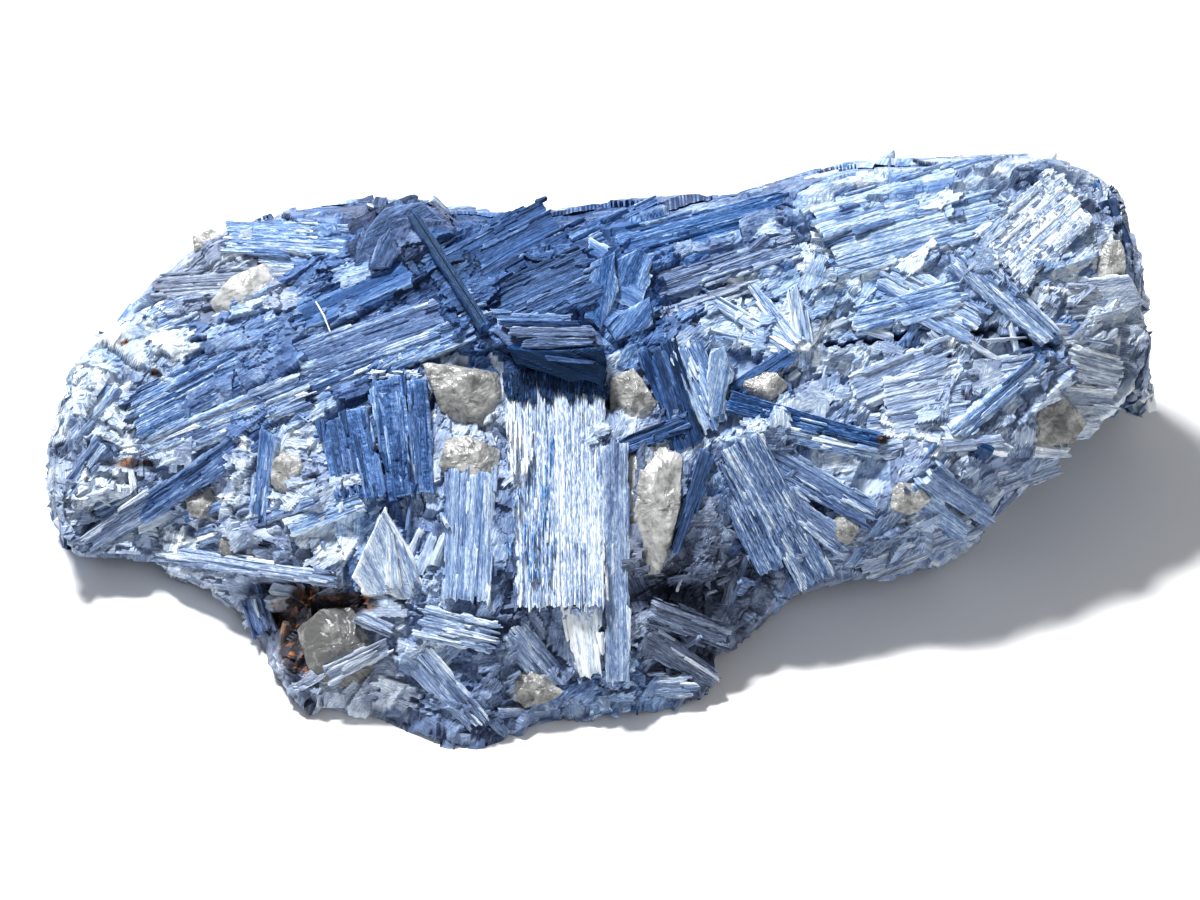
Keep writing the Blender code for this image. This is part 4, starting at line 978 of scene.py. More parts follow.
def plate_slabs(seed):
    """Each plate as a slab on its longest diagonal, its edges where its outline crosses each station."""
    chance = np.random.default_rng(seed)
    batches = []
    for thick, tint, grey, outline in PLATES:
        outline = np.array(outline, float)
        middle = outline.mean(0)
        gaps = np.linalg.norm(outline[:, None, :2] - outline[None, :, :2], axis=2)
        first, second = np.unravel_index(gaps.argmax(), gaps.shape)
        run = unit(outline[second, :2] - outline[first, :2])
        cross = np.array([-run[1], run[0]])
        local = np.stack([(outline[:, :2] - middle[:2]) @ run, (outline[:, :2] - middle[:2]) @ cross], 1)
        fit = np.linalg.lstsq(np.c_[local, np.ones(len(local))], outline[:, 2], rcond=None)[0]
        reach = local[:, 0].min(), local[:, 0].max()
        wide = np.ptp(local[:, 1])
        depth = depth_at(middle[0], middle[1]) + fit[2]
        near, far = (show_place(*(middle[:2] + run * end), depth + fit[0] * end) for end in reach)
        looks = np.array([[tint, grey, 0, PLATE_STREAK, PLATE_RIBS, PLATE_RIM]])
        plane_run = run[0] * RIGHT + run[1] * RISE
        plane_cross = cross[0] * RIGHT + cross[1] * RISE
        one = np.ones(1)
        stations = int((reach[1] - reach[0]) / PLATE_GRID_ALONG) + 2
        columns = int(wide / PLATE_GRID_ACROSS) + 2
        place = np.linspace(reach[0] + 0.02, reach[1] - 0.02, stations)
        low, high = np.full(stations, 99.0), np.full(stations, -99.0)
        for start, end in zip(local, np.roll(local, -1, 0)):
            share = (place - start[0]) / (end[0] - start[0] + 1e-9)
            crossing = start[1] + (end[1] - start[1]) * share
            meets = (share >= 0) & (share <= 1)
            low = np.where(meets, np.minimum(low, crossing), low)
            high = np.where(meets, np.maximum(high, crossing), high)
        facing = unit(OUT - fit[0] * plane_run - fit[1] * plane_cross)
        batches.append(slabs(near[None], far[None], facing[None], one * wide, one * wide, one * thick, looks,
                             one * PLATE_LATH, one * PLATE_STEP, one * PLATE_FRAY, chance, stations, columns,
                             (low, high)))
    return batches


slab_piece("crest_plates", plate_slabs(31) + laid_blades(SPLITS, 32))

# ================================================================ the mass between the blades
# Between the large blades the specimen is one welded surface of flakes that lie over each other like
# shingles. Each is a cleavage piece of kyanite, tilted a little, with ragged ends and a finely split face.
SHOWN = np.array(CREST + LEFT_ARM + SILVER + CROSS_RIBBED + FAN + TOP_MIDDLE + RIGHT_BLOCK + LOWER_RIGHT
                 + FOOT)
# the lift fades over this distance, ends this far under a blade's face, and is never more than this
LIFT_REACH, LIFT_BELOW, MOST_LIFT = 9.0, 2.0, 5


# Hollows, sunk into the mass and darkened as painted shade: place (across, up), half sizes, strength.
SHADED_HOLLOWS = np.array([
    (-59, -33.5, 9, 5, 1), (16, -30, 8, 3.4, 1), (-24, -35.5, 5, 1.6, 1), (-67, -28, 5, 1.4, 0.8),
    (24, -44, 6, 3, 0.4), (-1, 11, 8, 2, 0.5),
])
# the open crack: its middle line (across, up) and half its width there
CRACK = np.array([(41, 20.7), (50, 21.6), (60, 23), (69, 24.5), (80, 24.5), (88, 21.6), (93, 20.3)])
CRACK_HALF = np.array([0.4, 0.5, 0.8, 1.2, 1.2, 0.8, 0.5])
# the crack, too, ends this far behind the show plane
CRACK_BACK = -30


def crack_depth(points):
    """How far inside the crack's lips a place is: 1 on its middle line, 0 at the lips and beyond."""
    across, up, out = on_show_plane(points)
    line = np.interp(across, CRACK[:, 0], CRACK[:, 1]) + 0.5 * np.sin(across * 1.7) * np.sin(across * 0.61)
    half = np.interp(across, CRACK[:, 0], CRACK_HALF)
    inside = np.clip(1 - np.abs(up - line) / half, 0, 1)
    return inside * (across > CRACK[0, 0]) * (across < CRACK[-1, 0]) * (out > CRACK_BACK)


# Patches of the show side: place (across, up) and radius, depth of blue (0 navy, 1 white), greyness,
# direction of the fine laths in degrees and how far it strays, size of the laths.
PATCHES = np.array([
    (-93, 8, 12, 0.8, 0.45, 20, 90, 0.8),
    (-98, -6, 11, 0.72, 0.7, 30, 90, 0.8),
    (-88, 20, 10, 0.8, 0.35, 10, 60, 0.8),
    (-86, -10, 10, 0.6, 0.65, 30, 60, 0.8),
    (-76, 34, 9, 0.54, 0.8, 12, 25, 0.9),
    (-62, 41, 9, 0.52, 0.2, 4, 30, 1.1),
    (-76, 24, 10, 0.62, 0.3, 24, 30, 0.9),
    (-62, -14, 10, 0.7, 0.65, 12, 60, 0.9),
    (-78, -18, 9, 0.7, 0.75, 8, 60, 0.8),
    (-60, -27, 7, 0.66, 0.8, 10, 50, 0.8),
    (-46, -22, 9, 0.68, 0.25, 70, 60, 1.1),
    (-52, -40, 12, 0.56, 0.85, 0, 90, 1),
    (-36, -40, 10, 0.56, 0.5, 20, 60, 1),
    (-24, -48, 10, 0.56, 0.55, 10, 60, 1),
    (-22, 6, 9, 0.62, 0.65, 80, 60, 0.9),
    (-30, -20, 9, 0.6, 0.45, 85, 30, 1.1),
    (-8, -42, 9, 0.58, 0.6, 80, 60, 0.9),
    (2, -48, 8, 0.58, 0.3, 20, 60, 0.9),
    (16, -38, 12, 0.28, 0.8, 0, 90, 0.8),
    (14, -27, 9, 0.42, 0.9, 0, 90, 0.7),
    (28, -24, 8, 0.4, 0.8, 0, 90, 0.8),
    (12, 6, 9, 0.56, 0.6, 60, 60, 0.9),
    (8, 34, 9, 0.46, 0.1, 30, 50, 1.3),
    (24, 28, 10, 0.72, 0.3, 25, 40, 1.1),
    (36, 18, 11, 0.8, 0.3, 40, 80, 1.1),
    (30, 42, 9, 0.5, 0.35, 20, 30, 1.1),
    (52, 30, 11, 0.72, 0.15, 30, 60, 1.1),
    (60, 42, 12, 0.78, 0.15, 18, 30, 1.2),
    (74, 34, 11, 0.72, 0.4, 20, 60, 1.1),
    # the next two rows, on the top of the right shoulder, are near white: partly their own pale tone, partly
    # a painted sheen
    (82, 48, 11, 0.78, 0.45, 40, 40, 1.2),
    (92, 40, 10, 0.84, 0.28, 45, 40, 1.2),
    (88, 26, 9, 0.68, 0.22, 70, 40, 1.1),
    (104, 42, 7, 0.64, 0.6, 70, 50, 1),
    (102, 28, 8, 0.68, 0.75, 10, 60, 0.9),
    (100, 12, 10, 0.72, 0.75, 10, 60, 0.9),
    (56, 12, 12, 0.7, 0.55, 30, 70, 1.1),
    (72, 12, 12, 0.68, 0.6, 30, 70, 1.1),
    (84, 12, 9, 0.66, 0.6, 40, 60, 1),
    (50, -4, 9, 0.68, 0.4, 40, 60, 1),
    (62, -12, 9, 0.58, 0.6, 40, 50, 1),
    (76, -8, 9, 0.58, 0.65, 40, 50, 1),
    (50, -20, 8, 0.58, 0.65, 30, 60, 0.9),
    (92, 2, 8, 0.7, 0.75, 20, 60, 0.9),
    (36, -18, 8, 0.5, 0.3, 120, 30, 1),
    (-60, 24, 10, 0.48, 0.25, 27, 20, 1.1),
    (-30, 38, 10, 0.32, 0.15, 30, 30, 1.2),
    (-16, 34, 11, 0.3, 0.15, 30, 25, 1.2),
    (-10, 45, 8, 0.36, 0.15, 28, 25, 1.2),
    (-40, 46, 8, 0.26, 0.45, 40, 60, 1),
    (-12, 18, 8, 0.2, 0.15, 0, 40, 1),
    (-44, 26, 8, 0.38, 0.2, 28, 15, 1.2),
])
# the sides that don't show: the same columns, one row to each irregular domain of this size
PATCH_SPREAD = 0.55
HIDDEN_DOMAIN = 24
HIDDEN = np.array([
    (0, 0, 0, 0.46, 0.25, 8, 16, 1.3),
    (0, 0, 0, 0.66, 0.35, 24, 22, 1.1),
    (0, 0, 0, 0.34, 0.15, -14, 14, 1.4),
    (0, 0, 0, 0.74, 0.45, 62, 50, 0.9),
    (0, 0, 0, 0.54, 0.5, -38, 20, 1.1),
    (0, 0, 0, 0.6, 0.2, 38, 14, 1.2),
])


def patch_rows(points, normals, draw):
    """For each point a row of PATCHES, picked by nearness on the show plane, or of HIDDEN on the far side."""
    across, up, _ = on_show_plane(points)
    gap = np.hypot(across[:, None] - PATCHES[:, 0], up[:, None] - PATCHES[:, 1])
    weight = np.exp(-0.5 * (gap / (PATCH_SPREAD * PATCHES[:, 2])) ** 2) + 1e-9
    weight = weight.cumsum(1)
    pick = (weight < draw[:, None] * weight[:, -1:]).sum(1)
    rows = PATCHES[np.minimum(pick, len(PATCHES) - 1)].copy()
    away = normals @ OUT < 0.1
    domain, _ = nearest_cell(points[away] / HIDDEN_DOMAIN, 71)
    rows[away] = HIDDEN[(scrambled(domain, 72) * 0.999 * len(HIDDEN)).astype(int)]
    return rows


def surface_axes(normals):
    """Two unit directions in the surface: its level line, which RIGHT makes in it, and upwards from that."""
    level = unit(RIGHT - (normals @ RIGHT)[:, None] * normals + 1e-6)
    climb = unit(np.cross(normals, level))
    return level, climb * np.where(climb @ RISE < 0, -1.0, 1.0)[:, None]


def lifted(points, normals):
    """The mass drawn up towards the faces of the blades beside it, less so further from their edges."""
    across, up, out = on_show_plane(points)
    start, slope, level_1, level_2 = blade_lines(SHOWN)
    near, run = SHOWN[:, 0:2], SHOWN[:, 2:4] - SHOWN[:, 0:2]
    lift = np.zeros(len(points))
    for i in range(len(SHOWN)):
        gap_across, gap_up = across - near[i, 0], up - near[i, 1]
        length = np.hypot(*run[i])
        share = (gap_across * run[i, 0] + gap_up * run[i, 1]) / length**2
        held = np.clip(share, 0, 1)
        aside = np.abs(gap_across * run[i, 1] - gap_up * run[i, 0]) / length - SHOWN[i, 4] / 2
        distance = np.hypot(np.maximum(aside, 0), (share - held) * length)
        top = start[i] + slope[i] * held + level_1[i] + (level_2[i] - level_1[i]) * held - LIFT_BELOW
        fade = np.clip(1.1 - distance / LIFT_REACH, 0, 1)
        lift = np.maximum(lift, (top - out) * fade * fade * (3 - 2 * fade))
    lift = np.clip(lift, 0, MOST_LIFT) * np.clip((normals @ OUT - 0.05) / 0.35, 0, 1)
    lift = lift * (1 - np.clip(nearness(points, SHADED_HOLLOWS) * 1.5, 0, 1))
    return points + lift[:, None] * OUT


# flakes behind the show side are found this far under it; high on the back they turn less from the level
BEHIND = 12
BACK_HIGH, BACK_TURN = 40, 0.35


def flakes(points, normals, size, salt, step, lath):
    """The upper envelope of tilted flakes, one for each cell of a lattice of this size.

    A flake is a long rectangle in the surface, at its own height and tilt, split into laths with ragged ends.
    Returns heights, a number for each flake, its patch row and places (along, across) in it.
    """
    low = np.floor(points.min(0) / size).astype(int) - 2
    count = np.ceil(points.max(0) / size).astype(int) + 3 - low
    cells = np.stack(np.meshgrid(*(np.arange(n) for n in count), indexing="ij"), -1).reshape(-1, 3) + low
    centres = (cells + np.stack([scrambled(cells, salt + k) for k in range(3)], 1)) * size
    across, up, out = on_show_plane(centres)
    behind = out < depth_at(across, up) - BEHIND
    rows = patch_rows(centres, np.where(behind[:, None], -OUT, OUT), scrambled(cells, salt + 3))
    turn = np.radians(rows[:, 5] + (scrambled(cells, salt + 4) - 0.5) * 1.6 * rows[:, 6])
    turn = np.where(behind & (centres[:, 2] > BACK_HIGH), BACK_TURN * turn, turn)
    own = [scrambled(cells, salt + 5 + k) for k in range(5)]
    long, wide = size * (0.6 + 0.4 * own[0]), size * (0.22 + 0.4 * own[1])
    tilt_along, tilt_across = (own[2] - 0.5) * 0.3, (own[3] - 0.5) * 0.7
    rise = (own[4] - 0.7) * 2 * step
    level, climb = surface_axes(normals)
    base = np.floor(points / size).astype(int)
    best = np.full(len(points), -1.6 * step)
    winner = np.ravel_multi_index((base - low).T, count)
    place = np.zeros((len(points), 2))
    for shift in np.ndindex(3, 3, 3):
        index = np.ravel_multi_index((base + np.array(shift) - 1 - low).T, count)
        gap = points - centres[index]
        right, high = (gap * level).sum(1), (gap * climb).sum(1)
        sine, cosine = np.sin(turn[index]), np.cos(turn[index])
        along, side = right * cosine + high * sine, high * cosine - right * sine
        column = np.stack([np.floor(side / lath), index, index], 1)
        ragged = scrambled(column, salt + 11)
        height = rise[index] + tilt_along[index] * along + tilt_across[index] * side
        height = height + (scrambled(column, salt + 12) - 0.6) * 0.35 * step
        inside = (np.abs(along) < long[index] * (0.55 + 0.45 * ragged)) & (np.abs(side) < wide[index])
        inside &= (np.abs((gap * normals).sum(1)) < 0.6 * size) & (height > best)
        best = np.where(inside, height, best)
        winner = np.where(inside, index, winner)
        place[inside] = np.stack([along, side], 1)[inside]
    return best, scrambled(np.stack([winner] * 3, 1), salt + 13), rows[winner], place


def ring_faces(rings, steps):
    """Triangles between rings one after another, closed at both ends by a fan on an extra point."""
    corner = np.arange(rings * steps).reshape(rings, steps)
    after = np.roll(corner, -1, 1)
    first = np.stack([0 * corner[0] + rings * steps, corner[0], after[0]], 1)
    last = np.stack([0 * corner[0] + rings * steps + 1, after[-1], corner[-1]], 1)
    return np.concatenate([grid_faces(corner, after), first, last])


# size of the flakes' lattice, salt, step between flakes, width of a lath: coarse, middling, fine
FLAKE_SIZES = ((14.0, 200, 1.1, 1.4), (6.5, 230, 0.7, 1.0), (2.8, 260, 0.28, 0.6))
MIDDLE_SHARE, FINE_SHARE = 0.9, 0.8
# along the outline, where the surface turns away, these shares are taken off the relief, more at the top edge
EDGE_WIDTH, EDGE_CALM, TOP_CALM, TOP_FINE_CALM = 0.55, 0.7, 0.6, 0.75
# tints deeper than this are lightened towards it on the top edge: painted light
TOP_LIT_TINT = 0.45
# how deep the crack and the hollows go, and the streak and cross-ribs of the flakes
CRACK_DEEP, HOLLOW_DEEP = 6, 4
FELT_STREAK, FELT_RIBS = 0.12, 0.02


def welded_mass():
    """The mass lifted to the blades, with three sizes of flakes on it, opened at the crack and the hollows.

    Height = coarse + middling + fine flakes, less along the outline. Tint = the patch's own, strayed by each
    flake's number. Painted shade darkens it low between flakes, in the crack and in the hollows, and painted
    light lightens deep tints on the top edge.
    """
    body = lifted(flat_points, flat_normals)
    (coarse, shade_1, _, _), (middle, shade_2, rows, place), (fine, shade_3, _, _) = (
        flakes(flat_points, smooth_normals, *sizes) for sizes in FLAKE_SIZES)
    middle, fine = MIDDLE_SHARE * middle, FINE_SHARE * fine
    edgeways = np.exp(-((smooth_normals @ OUT) / EDGE_WIDTH) ** 2)
    top_edge = edgeways * np.clip(1.5 * (smooth_normals @ RISE), 0, 1)
    height = (coarse + middle) * (1 - EDGE_CALM * edgeways) * (1 - TOP_CALM * top_edge)
    height = height + fine * (1 - TOP_FINE_CALM * top_edge)
    crack, shaded_hollow = crack_depth(flat_points), nearness(flat_points, SHADED_HOLLOWS)
    push = unit(flat_normals * (1 - top_edge)[:, None] + smooth_normals * top_edge[:, None])
    height = np.clip(height + 0.3, -3, 1.0) - crack * CRACK_DEEP - shaded_hollow * HOLLOW_DEEP
    points = grounded(body + height[:, None] * push)
    # painted shade: where the middling and fine flakes lie low, the tint is darkened
    sunk_shade = np.clip(-0.2 - (middle + fine), 0, 1.5)
    tint = rows[:, 3] + (shade_1 - 0.5) * 0.2 + (shade_2 - 0.5) * 0.26 + (shade_3 - 0.5) * 0.16 - 0.16 * sunk_shade
    # painted light: deep tints on the top edge are lightened
    tint = tint + 0.7 * top_edge * np.maximum(TOP_LIT_TINT - tint, 0)
    one = np.ones(len(points))
    numbers = {
        "grain": np.stack([place[:, 0], place[:, 1], shade_2 * 90], 1),
        # the crack and the hollows are darkened in colour: painted shade
        "shade": np.stack([tint - 0.5 * crack - 0.4 * shaded_hollow, rows[:, 4], nearness(flat_points, RUST)], 1),
        "habit": np.stack([one * FELT_STREAK, one * FELT_RIBS, 0 * one], 1),
        "share": np.zeros((len(points), 3)),
    }
    return points, numbers


mass_points, mass_numbers = welded_mass()
rings, steps = grid.shape[:2]
# the mass is four pieces, cut across
PARTS = 4
cuts = np.linspace(1, rings - 2, PARTS + 1).astype(int)
for part in range(PARTS):
    first, last = cuts[part], cuts[part + 1]
    pick = slice(first * steps, (last + 1) * steps)
    ends = [first - (part == 0), last + (part == PARTS - 1)]
    ends = [mass_points[end * steps:(end + 1) * steps].mean(0) for end in ends]
    points = np.concatenate([mass_points[pick], ends])
    numbers = {key: np.concatenate([value[pick], value[pick][[0, -1]]])
               for key, value in mass_numbers.items()}
    faces = ring_faces(last - first + 1, steps)
    share = new_piece(f"kyanite_felt_{part + 1}", points, faces, numbers, kyanite)
    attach(share, "root")
    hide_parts("kyanite_mass")

# ================================================================ splinters, and blades of the hidden sides
# Splinters lie all over the mass between the large blades, each a small crystal split along its cleavage, and
# longer blades lie on the sides that don't show. Those near each other run much the same way.
GRID_AREA = np.linalg.norm(np.cross(np.gradient(grid, axis=0), np.roll(grid, -1, 1) - grid), axis=2).ravel()


def under_blades(points, margin):
    """Which points lie behind a laid blade, nearer its middle line than half its width less a margin."""
    across, up, _ = on_show_plane(points)
    start, stop = SHOWN[:, 0:2], SHOWN[:, 2:4]
    run = stop - start
    gap = np.stack([across, up], 1)[:, None] - start
    share = np.clip((gap * run).sum(2) / (run**2).sum(1), 0, 1)
    distance = np.linalg.norm(gap - share[..., None] * run, axis=2)
    return (distance < SHOWN[:, 4] / 2 - margin).any(1)


# quartz grains: node, middle (across, up, and out of the mass), half sizes in the same order
GRAINS = [
    ("quartz_top_left", -70, 31, -2.5, 9, 6.5, 6),
    ("quartz_corner", -77, 42, -3, 6, 4, 5),
    ("quartz_centre_high", -28.5, 11, -1, 8, 6.5, 6),
    ("quartz_centre_low", -26, -3, -1, 6.5, 5, 5),
    ("quartz_shelf", 6, 11, -0.5, 4.5, 5, 5),
    ("quartz_tall", 11, -12.5, -1, 6, 13, 6.5),
    ("quartz_arm_inner", -63, -5, -0.5, 4, 5.5, 4.5),
    ("quartz_arm_outer", -80, -11, -1, 4.5, 4, 4.5),
    ("quartz_arm_low", -73, -19, -1, 4.5, 3.4, 4.5),
    ("quartz_fan", 33, 13, -0.5, 5, 3.6, 4.5),
    ("quartz_right_low", 90, 6, -2, 8, 6.5, 6.5),
    ("quartz_keel", 62, -9.5, 0.5, 4.5, 3.4, 4.5),
    ("quartz_round", 49, -16, 0, 4, 3.6, 4),
    ("quartz_right_end", 103.5, 38, -0.5, 3.2, 5.5, 4.5),
    ("quartz_foot", -13, -48, -0.5, 5.5, 3.8, 5),
    ("quartz_lower_left", -51, -40, -2.5, 10, 8.5, 8),
]


# a grain hides nothing further behind the show plane than this
GRAIN_BACK = -30


def over_quartz(points):
    """Which points lie in front of a quartz grain."""
    across, up, out = on_show_plane(points)
    place = np.array([row[1:] for row in GRAINS])
    reach = ellipse_reach(across, up, place[:, 0:2], place[:, 3:5])
    return ((reach < 0.5) & (out[:, None] > GRAIN_BACK)).any(1)


# Nothing on the hidden sides may show past the outline from the front, so it keeps behind this place along Y,
# and inside these along X: splinters of the show side, then splinters and blades of the hidden sides.
BACK_FROM = -30
SHOW_END, HIDDEN_END, BLADE_END = 107, 104, 98
# splinters of the hidden sides lie lower and smaller towards the outline, down to this share
LEAST_CALM, CALM_SINK = 0.35, 2.4
# a splinter is left out this far inside a large blade's edge, and lies low up to this far outside it
COVERED, BESIDE = 1.2, -2.5


def scattered_looks(rows, chance, streaks, draw_ribs):
    """Looks of slabs on their patches: tint and grey strayed from the patch's, streak, ribs and rim drawn."""
    count = len(rows)
    return np.stack([
        rows[:, 3] + chance.normal(0, 0.12, count),
        rows[:, 4] + chance.normal(0, 0.1, count),
        np.zeros(count),
        chance.uniform(*streaks, count),
        draw_ribs(count),
        chance.uniform(0.05, 0.25, count),
    ], 1)


def lath_directions(normals, degrees):
    """Unit directions in the surface: `degrees` from its level line, upwards."""
    level, climb = surface_axes(normals)
    turn = np.radians(degrees)[:, None]
    return level * np.cos(turn) + climb * np.sin(turn)


def felt_slabs(count, show_side, seed, scale, rows, columns):
    """Small slabs spread over the mass by area, each laid in the surface along its patch's direction."""
    chance = np.random.default_rng(seed)
    facing = smooth_normals @ OUT
    weight = GRID_AREA * (facing > 0.1 if show_side else facing < -0.1) * (flat_points[:, 2] > 1.0)
    pick = chance.choice(len(weight), count, p=weight / weight.sum())
    points, normals = flat_points[pick], flat_normals[pick]
    calm = np.ones(count)
    keep = (crack_depth(points) <= 0) & ~over_quartz(points)
    if show_side:
        keep &= ~under_blades(points, COVERED)
    else:
        calm = np.clip(LEAST_CALM - 1.5 * facing[pick], LEAST_CALM, 1)
        keep &= (points[:, 1] > BACK_FROM) & (np.abs(points[:, 0]) < HIDDEN_END)
    keep &= nearness(points, SHADED_HOLLOWS) < chance.uniform(0.2, 0.9, count)
    points, normals, calm = points[keep], normals[keep], calm[keep]
    beside = under_blades(points, BESIDE)
    count = len(points)
    patch = patch_rows(points, normals, chance.random(count))
    along = lath_directions(normals, patch[:, 5] + chance.uniform(-1, 1, count) * patch[:, 6])
    tilt = np.radians(chance.normal(0, 7, count) * calm)[:, None]
    along = unit(along * np.cos(tilt) + normals * np.sin(tilt))
    roll = np.radians(chance.normal(0, 12, count))[:, None]
    outward = unit(normals * np.cos(roll) + np.cross(along, normals) * np.sin(roll))
    size = scale * calm * patch[:, 7] * chance.lognormal(0, 0.35, count)
    half = size * chance.uniform(1.5, 3.4, count)
    room = np.maximum((SHOW_END if show_side else HIDDEN_END) - np.abs(points[:, 0]), 1)
    half = np.minimum(half, room / (np.abs(along[:, 0]) + 0.1))
    width = size * chance.uniform(0.6, 1.5, count)
    lift = 0.5 + size * np.where(beside, chance.uniform(-0.2, 0.2, count), chance.uniform(-0.1, 0.3, count))
    lift -= CALM_SINK * (1 - calm)
    middle = points + normals * lift[:, None]
    looks = scattered_looks(patch, chance, (0.04, 0.14), functools.partial(chance.uniform, 0, 0.04))
    thick = width * chance.uniform(0.4, 1.0, count)
    return slabs(middle - along * half[:, None], middle + along * half[:, None], outward, width, thick,
                 1.3 * size, looks, 0.4 * size, 0.2 * size, half * 0.4, chance, rows, columns)


slab_piece("front_splinters", [felt_slabs(900, True, 41, 1.5, 12, 6)])
slab_piece("back_splinters", [felt_slabs(520, False, 42, 2.2, 16, 8)])
# a long blade is kept if it runs on, doesn't turn over an edge and doesn't bridge a hollow
SHORTEST, SAME_WAY, HIGHEST_BRIDGE = 12, 0.6, 1.5


def nearest_point(places):
    """Index of the mass's point nearest to each place."""
    return np.array([np.linalg.norm(flat_points - place, axis=1).argmin() for place in places])


def long_blades(count, seed):
    """Long blades over the hidden sides, each from one point of the surface to another along its domain."""
    chance = np.random.default_rng(seed)
    weight = GRID_AREA * (smooth_normals @ OUT < -0.1) * (flat_points[:, 2] > 3.0)
    pick = chance.choice(len(weight), count, p=weight / weight.sum())
    start, start_normals = flat_points[pick], smooth_normals[pick]
    patch = patch_rows(start, start_normals, chance.random(count))
    along = lath_directions(start_normals, patch[:, 5] + chance.uniform(-0.6, 0.6, count) * patch[:, 6])
    reach = chance.uniform(16, 40, count)
    other = nearest_point(start + along * reach[:, None])
    end, end_normals = flat_points[other], smooth_normals[other]
    lift = (0.8 + reach * 0.03) * np.clip(-2.5 * (start_normals @ OUT), 0.2, 1)
    near = start + start_normals * lift[:, None]
    far = end + end_normals * lift[:, None]
    far[:, 2] = np.maximum(far[:, 2], 2.0)
    outward = unit(start_normals + end_normals)
    keep = (np.linalg.norm(far - near, axis=1) > SHORTEST) & ((start_normals * end_normals).sum(1) > SAME_WAY)
    for tip, normals in ((near, start_normals), (far, end_normals)):
        keep &= (normals @ OUT < -0.12) & (tip[:, 1] > BACK_FROM) & (np.abs(tip[:, 0]) < BLADE_END)
    middle = (start + end) / 2
    below = nearest_point(middle)
    keep &= ((middle - flat_points[below]) * smooth_normals[below]).sum(1) < HIGHEST_BRIDGE
    width = chance.uniform(3.5, 10, count)
    looks = scattered_looks(patch, chance, (0.08, 0.3), functools.partial(chance.choice, [0, 0, 0.02, 0.2]))
    near, far, outward, width, looks = (value[keep] for value in (near, far, outward, width, looks))
    one = np.ones(len(near))
    return slabs(near, far, outward, width, width * 0.8, one * 6, looks, one, one * 0.4, one * 3, chance,
                 38, 20)


slab_piece("back_blades", [long_blades(120, 43)])

# ================================================================ quartz grains
# Milky quartz filled the gaps that the blades left. Each grain is a broken lump with rounded flats, held in
# a socket of its own in the kyanite.
GRAIN_SIDE = 72
QUARTZ_STOPS = [(0.36, (0.11, 0.112, 0.112)), (0.72, (0.54, 0.545, 0.535))]


def quartz_finish():
    """Milky white, clouded with grey, with light that soaks in a little, glassy on its flats."""
    material, tree, shader = new_finish("quartz_milky", {
        "Roughness": 0.22,
        "IOR": 1.54,
        "Subsurface Weight": 0.3,
        "Subsurface Radius": (1, 1, 1),
        "Subsurface Scale": 0.0015,
    })
    place = add_node(tree, "ShaderNodeTexCoord").outputs["Object"]
    clouds = stretched_noise(tree, place, (330, 330, 330), 5, 0.7)
    # the grain's own paleness; for the lower-left grain it is painted shade
    pale, _, _ = three_parts(tree, "shade")
    colour = colour_ramp(tree, number(tree, "ADD", clouds, pale), QUARTZ_STOPS)
    tree.links.new(colour, shader.inputs["Base Color"])
    add_relief(tree, shader, stretched_noise(tree, place, (900, 900, 900), 4, 0.7), 0.5, 0.0004)
    return material


# outlines on the show plane of the grains whose shape is plain to see (across, up)
OUTLINES = {
    "quartz_tall": [
        (5.6, -0.4), (13.6, 2), (16.6, -0.4), (16, -12), (14.4, -19), (12, -25), (8, -25), (6, -18),
        (5.2, -8)],
    "quartz_centre_high": [(-36, 17.6), (-29.6, 17), (-20.5, 15.6), (-20, 9.6), (-22, 5), (-27, 4), (-32, 8)],
    "quartz_centre_low": [(-32, 2), (-27, 3), (-20, 0), (-20.5, -5), (-25, -8), (-30, -7), (-32.5, -3)],
    "quartz_shelf": [(2, 15), (7, 16.4), (11.5, 9.5), (9.5, 6), (5, 5), (2, 7)],
    "quartz_top_left": [
        (-79, 30), (-75, 35), (-67.6, 38), (-61, 37), (-61, 33), (-66, 28), (-72, 24.6), (-77, 25)],
    "quartz_lower_left": [
        (-61, -36), (-56, -32), (-46, -31.6), (-41, -36), (-43, -44), (-50, -48), (-58, -46)],
}


def outline_reach(corners, turn):
    """Distance from the middle to the outline in each direction, along a ray to the edge that it crosses."""
    reach = np.full(turn.shape, 99.0)
    ray = np.stack([np.cos(turn), np.sin(turn)], -1)
    for start, end in zip(corners, np.roll(corners, -1, 0)):
        edge = end - start
        slant = ray[..., 0] * edge[1] - ray[..., 1] * edge[0]
        distance = (start[0] * edge[1] - start[1] * edge[0]) / np.where(np.abs(slant) < 1e-9, 1e-9, slant)
        place = (distance[..., None] * ray - start) @ edge / (edge @ edge)
        crossed = (distance > 0) & (place >= -0.001) & (place <= 1.001)
        reach = np.where(crossed, np.minimum(reach, distance), reach)
    return reach


SQUARENESS = 7.0
PLANES = 7
# irregular flats on a lump: their size, and a finer size of steps on them
FLAT_SIZE, PIT_SIZE = 2.6, 1.1


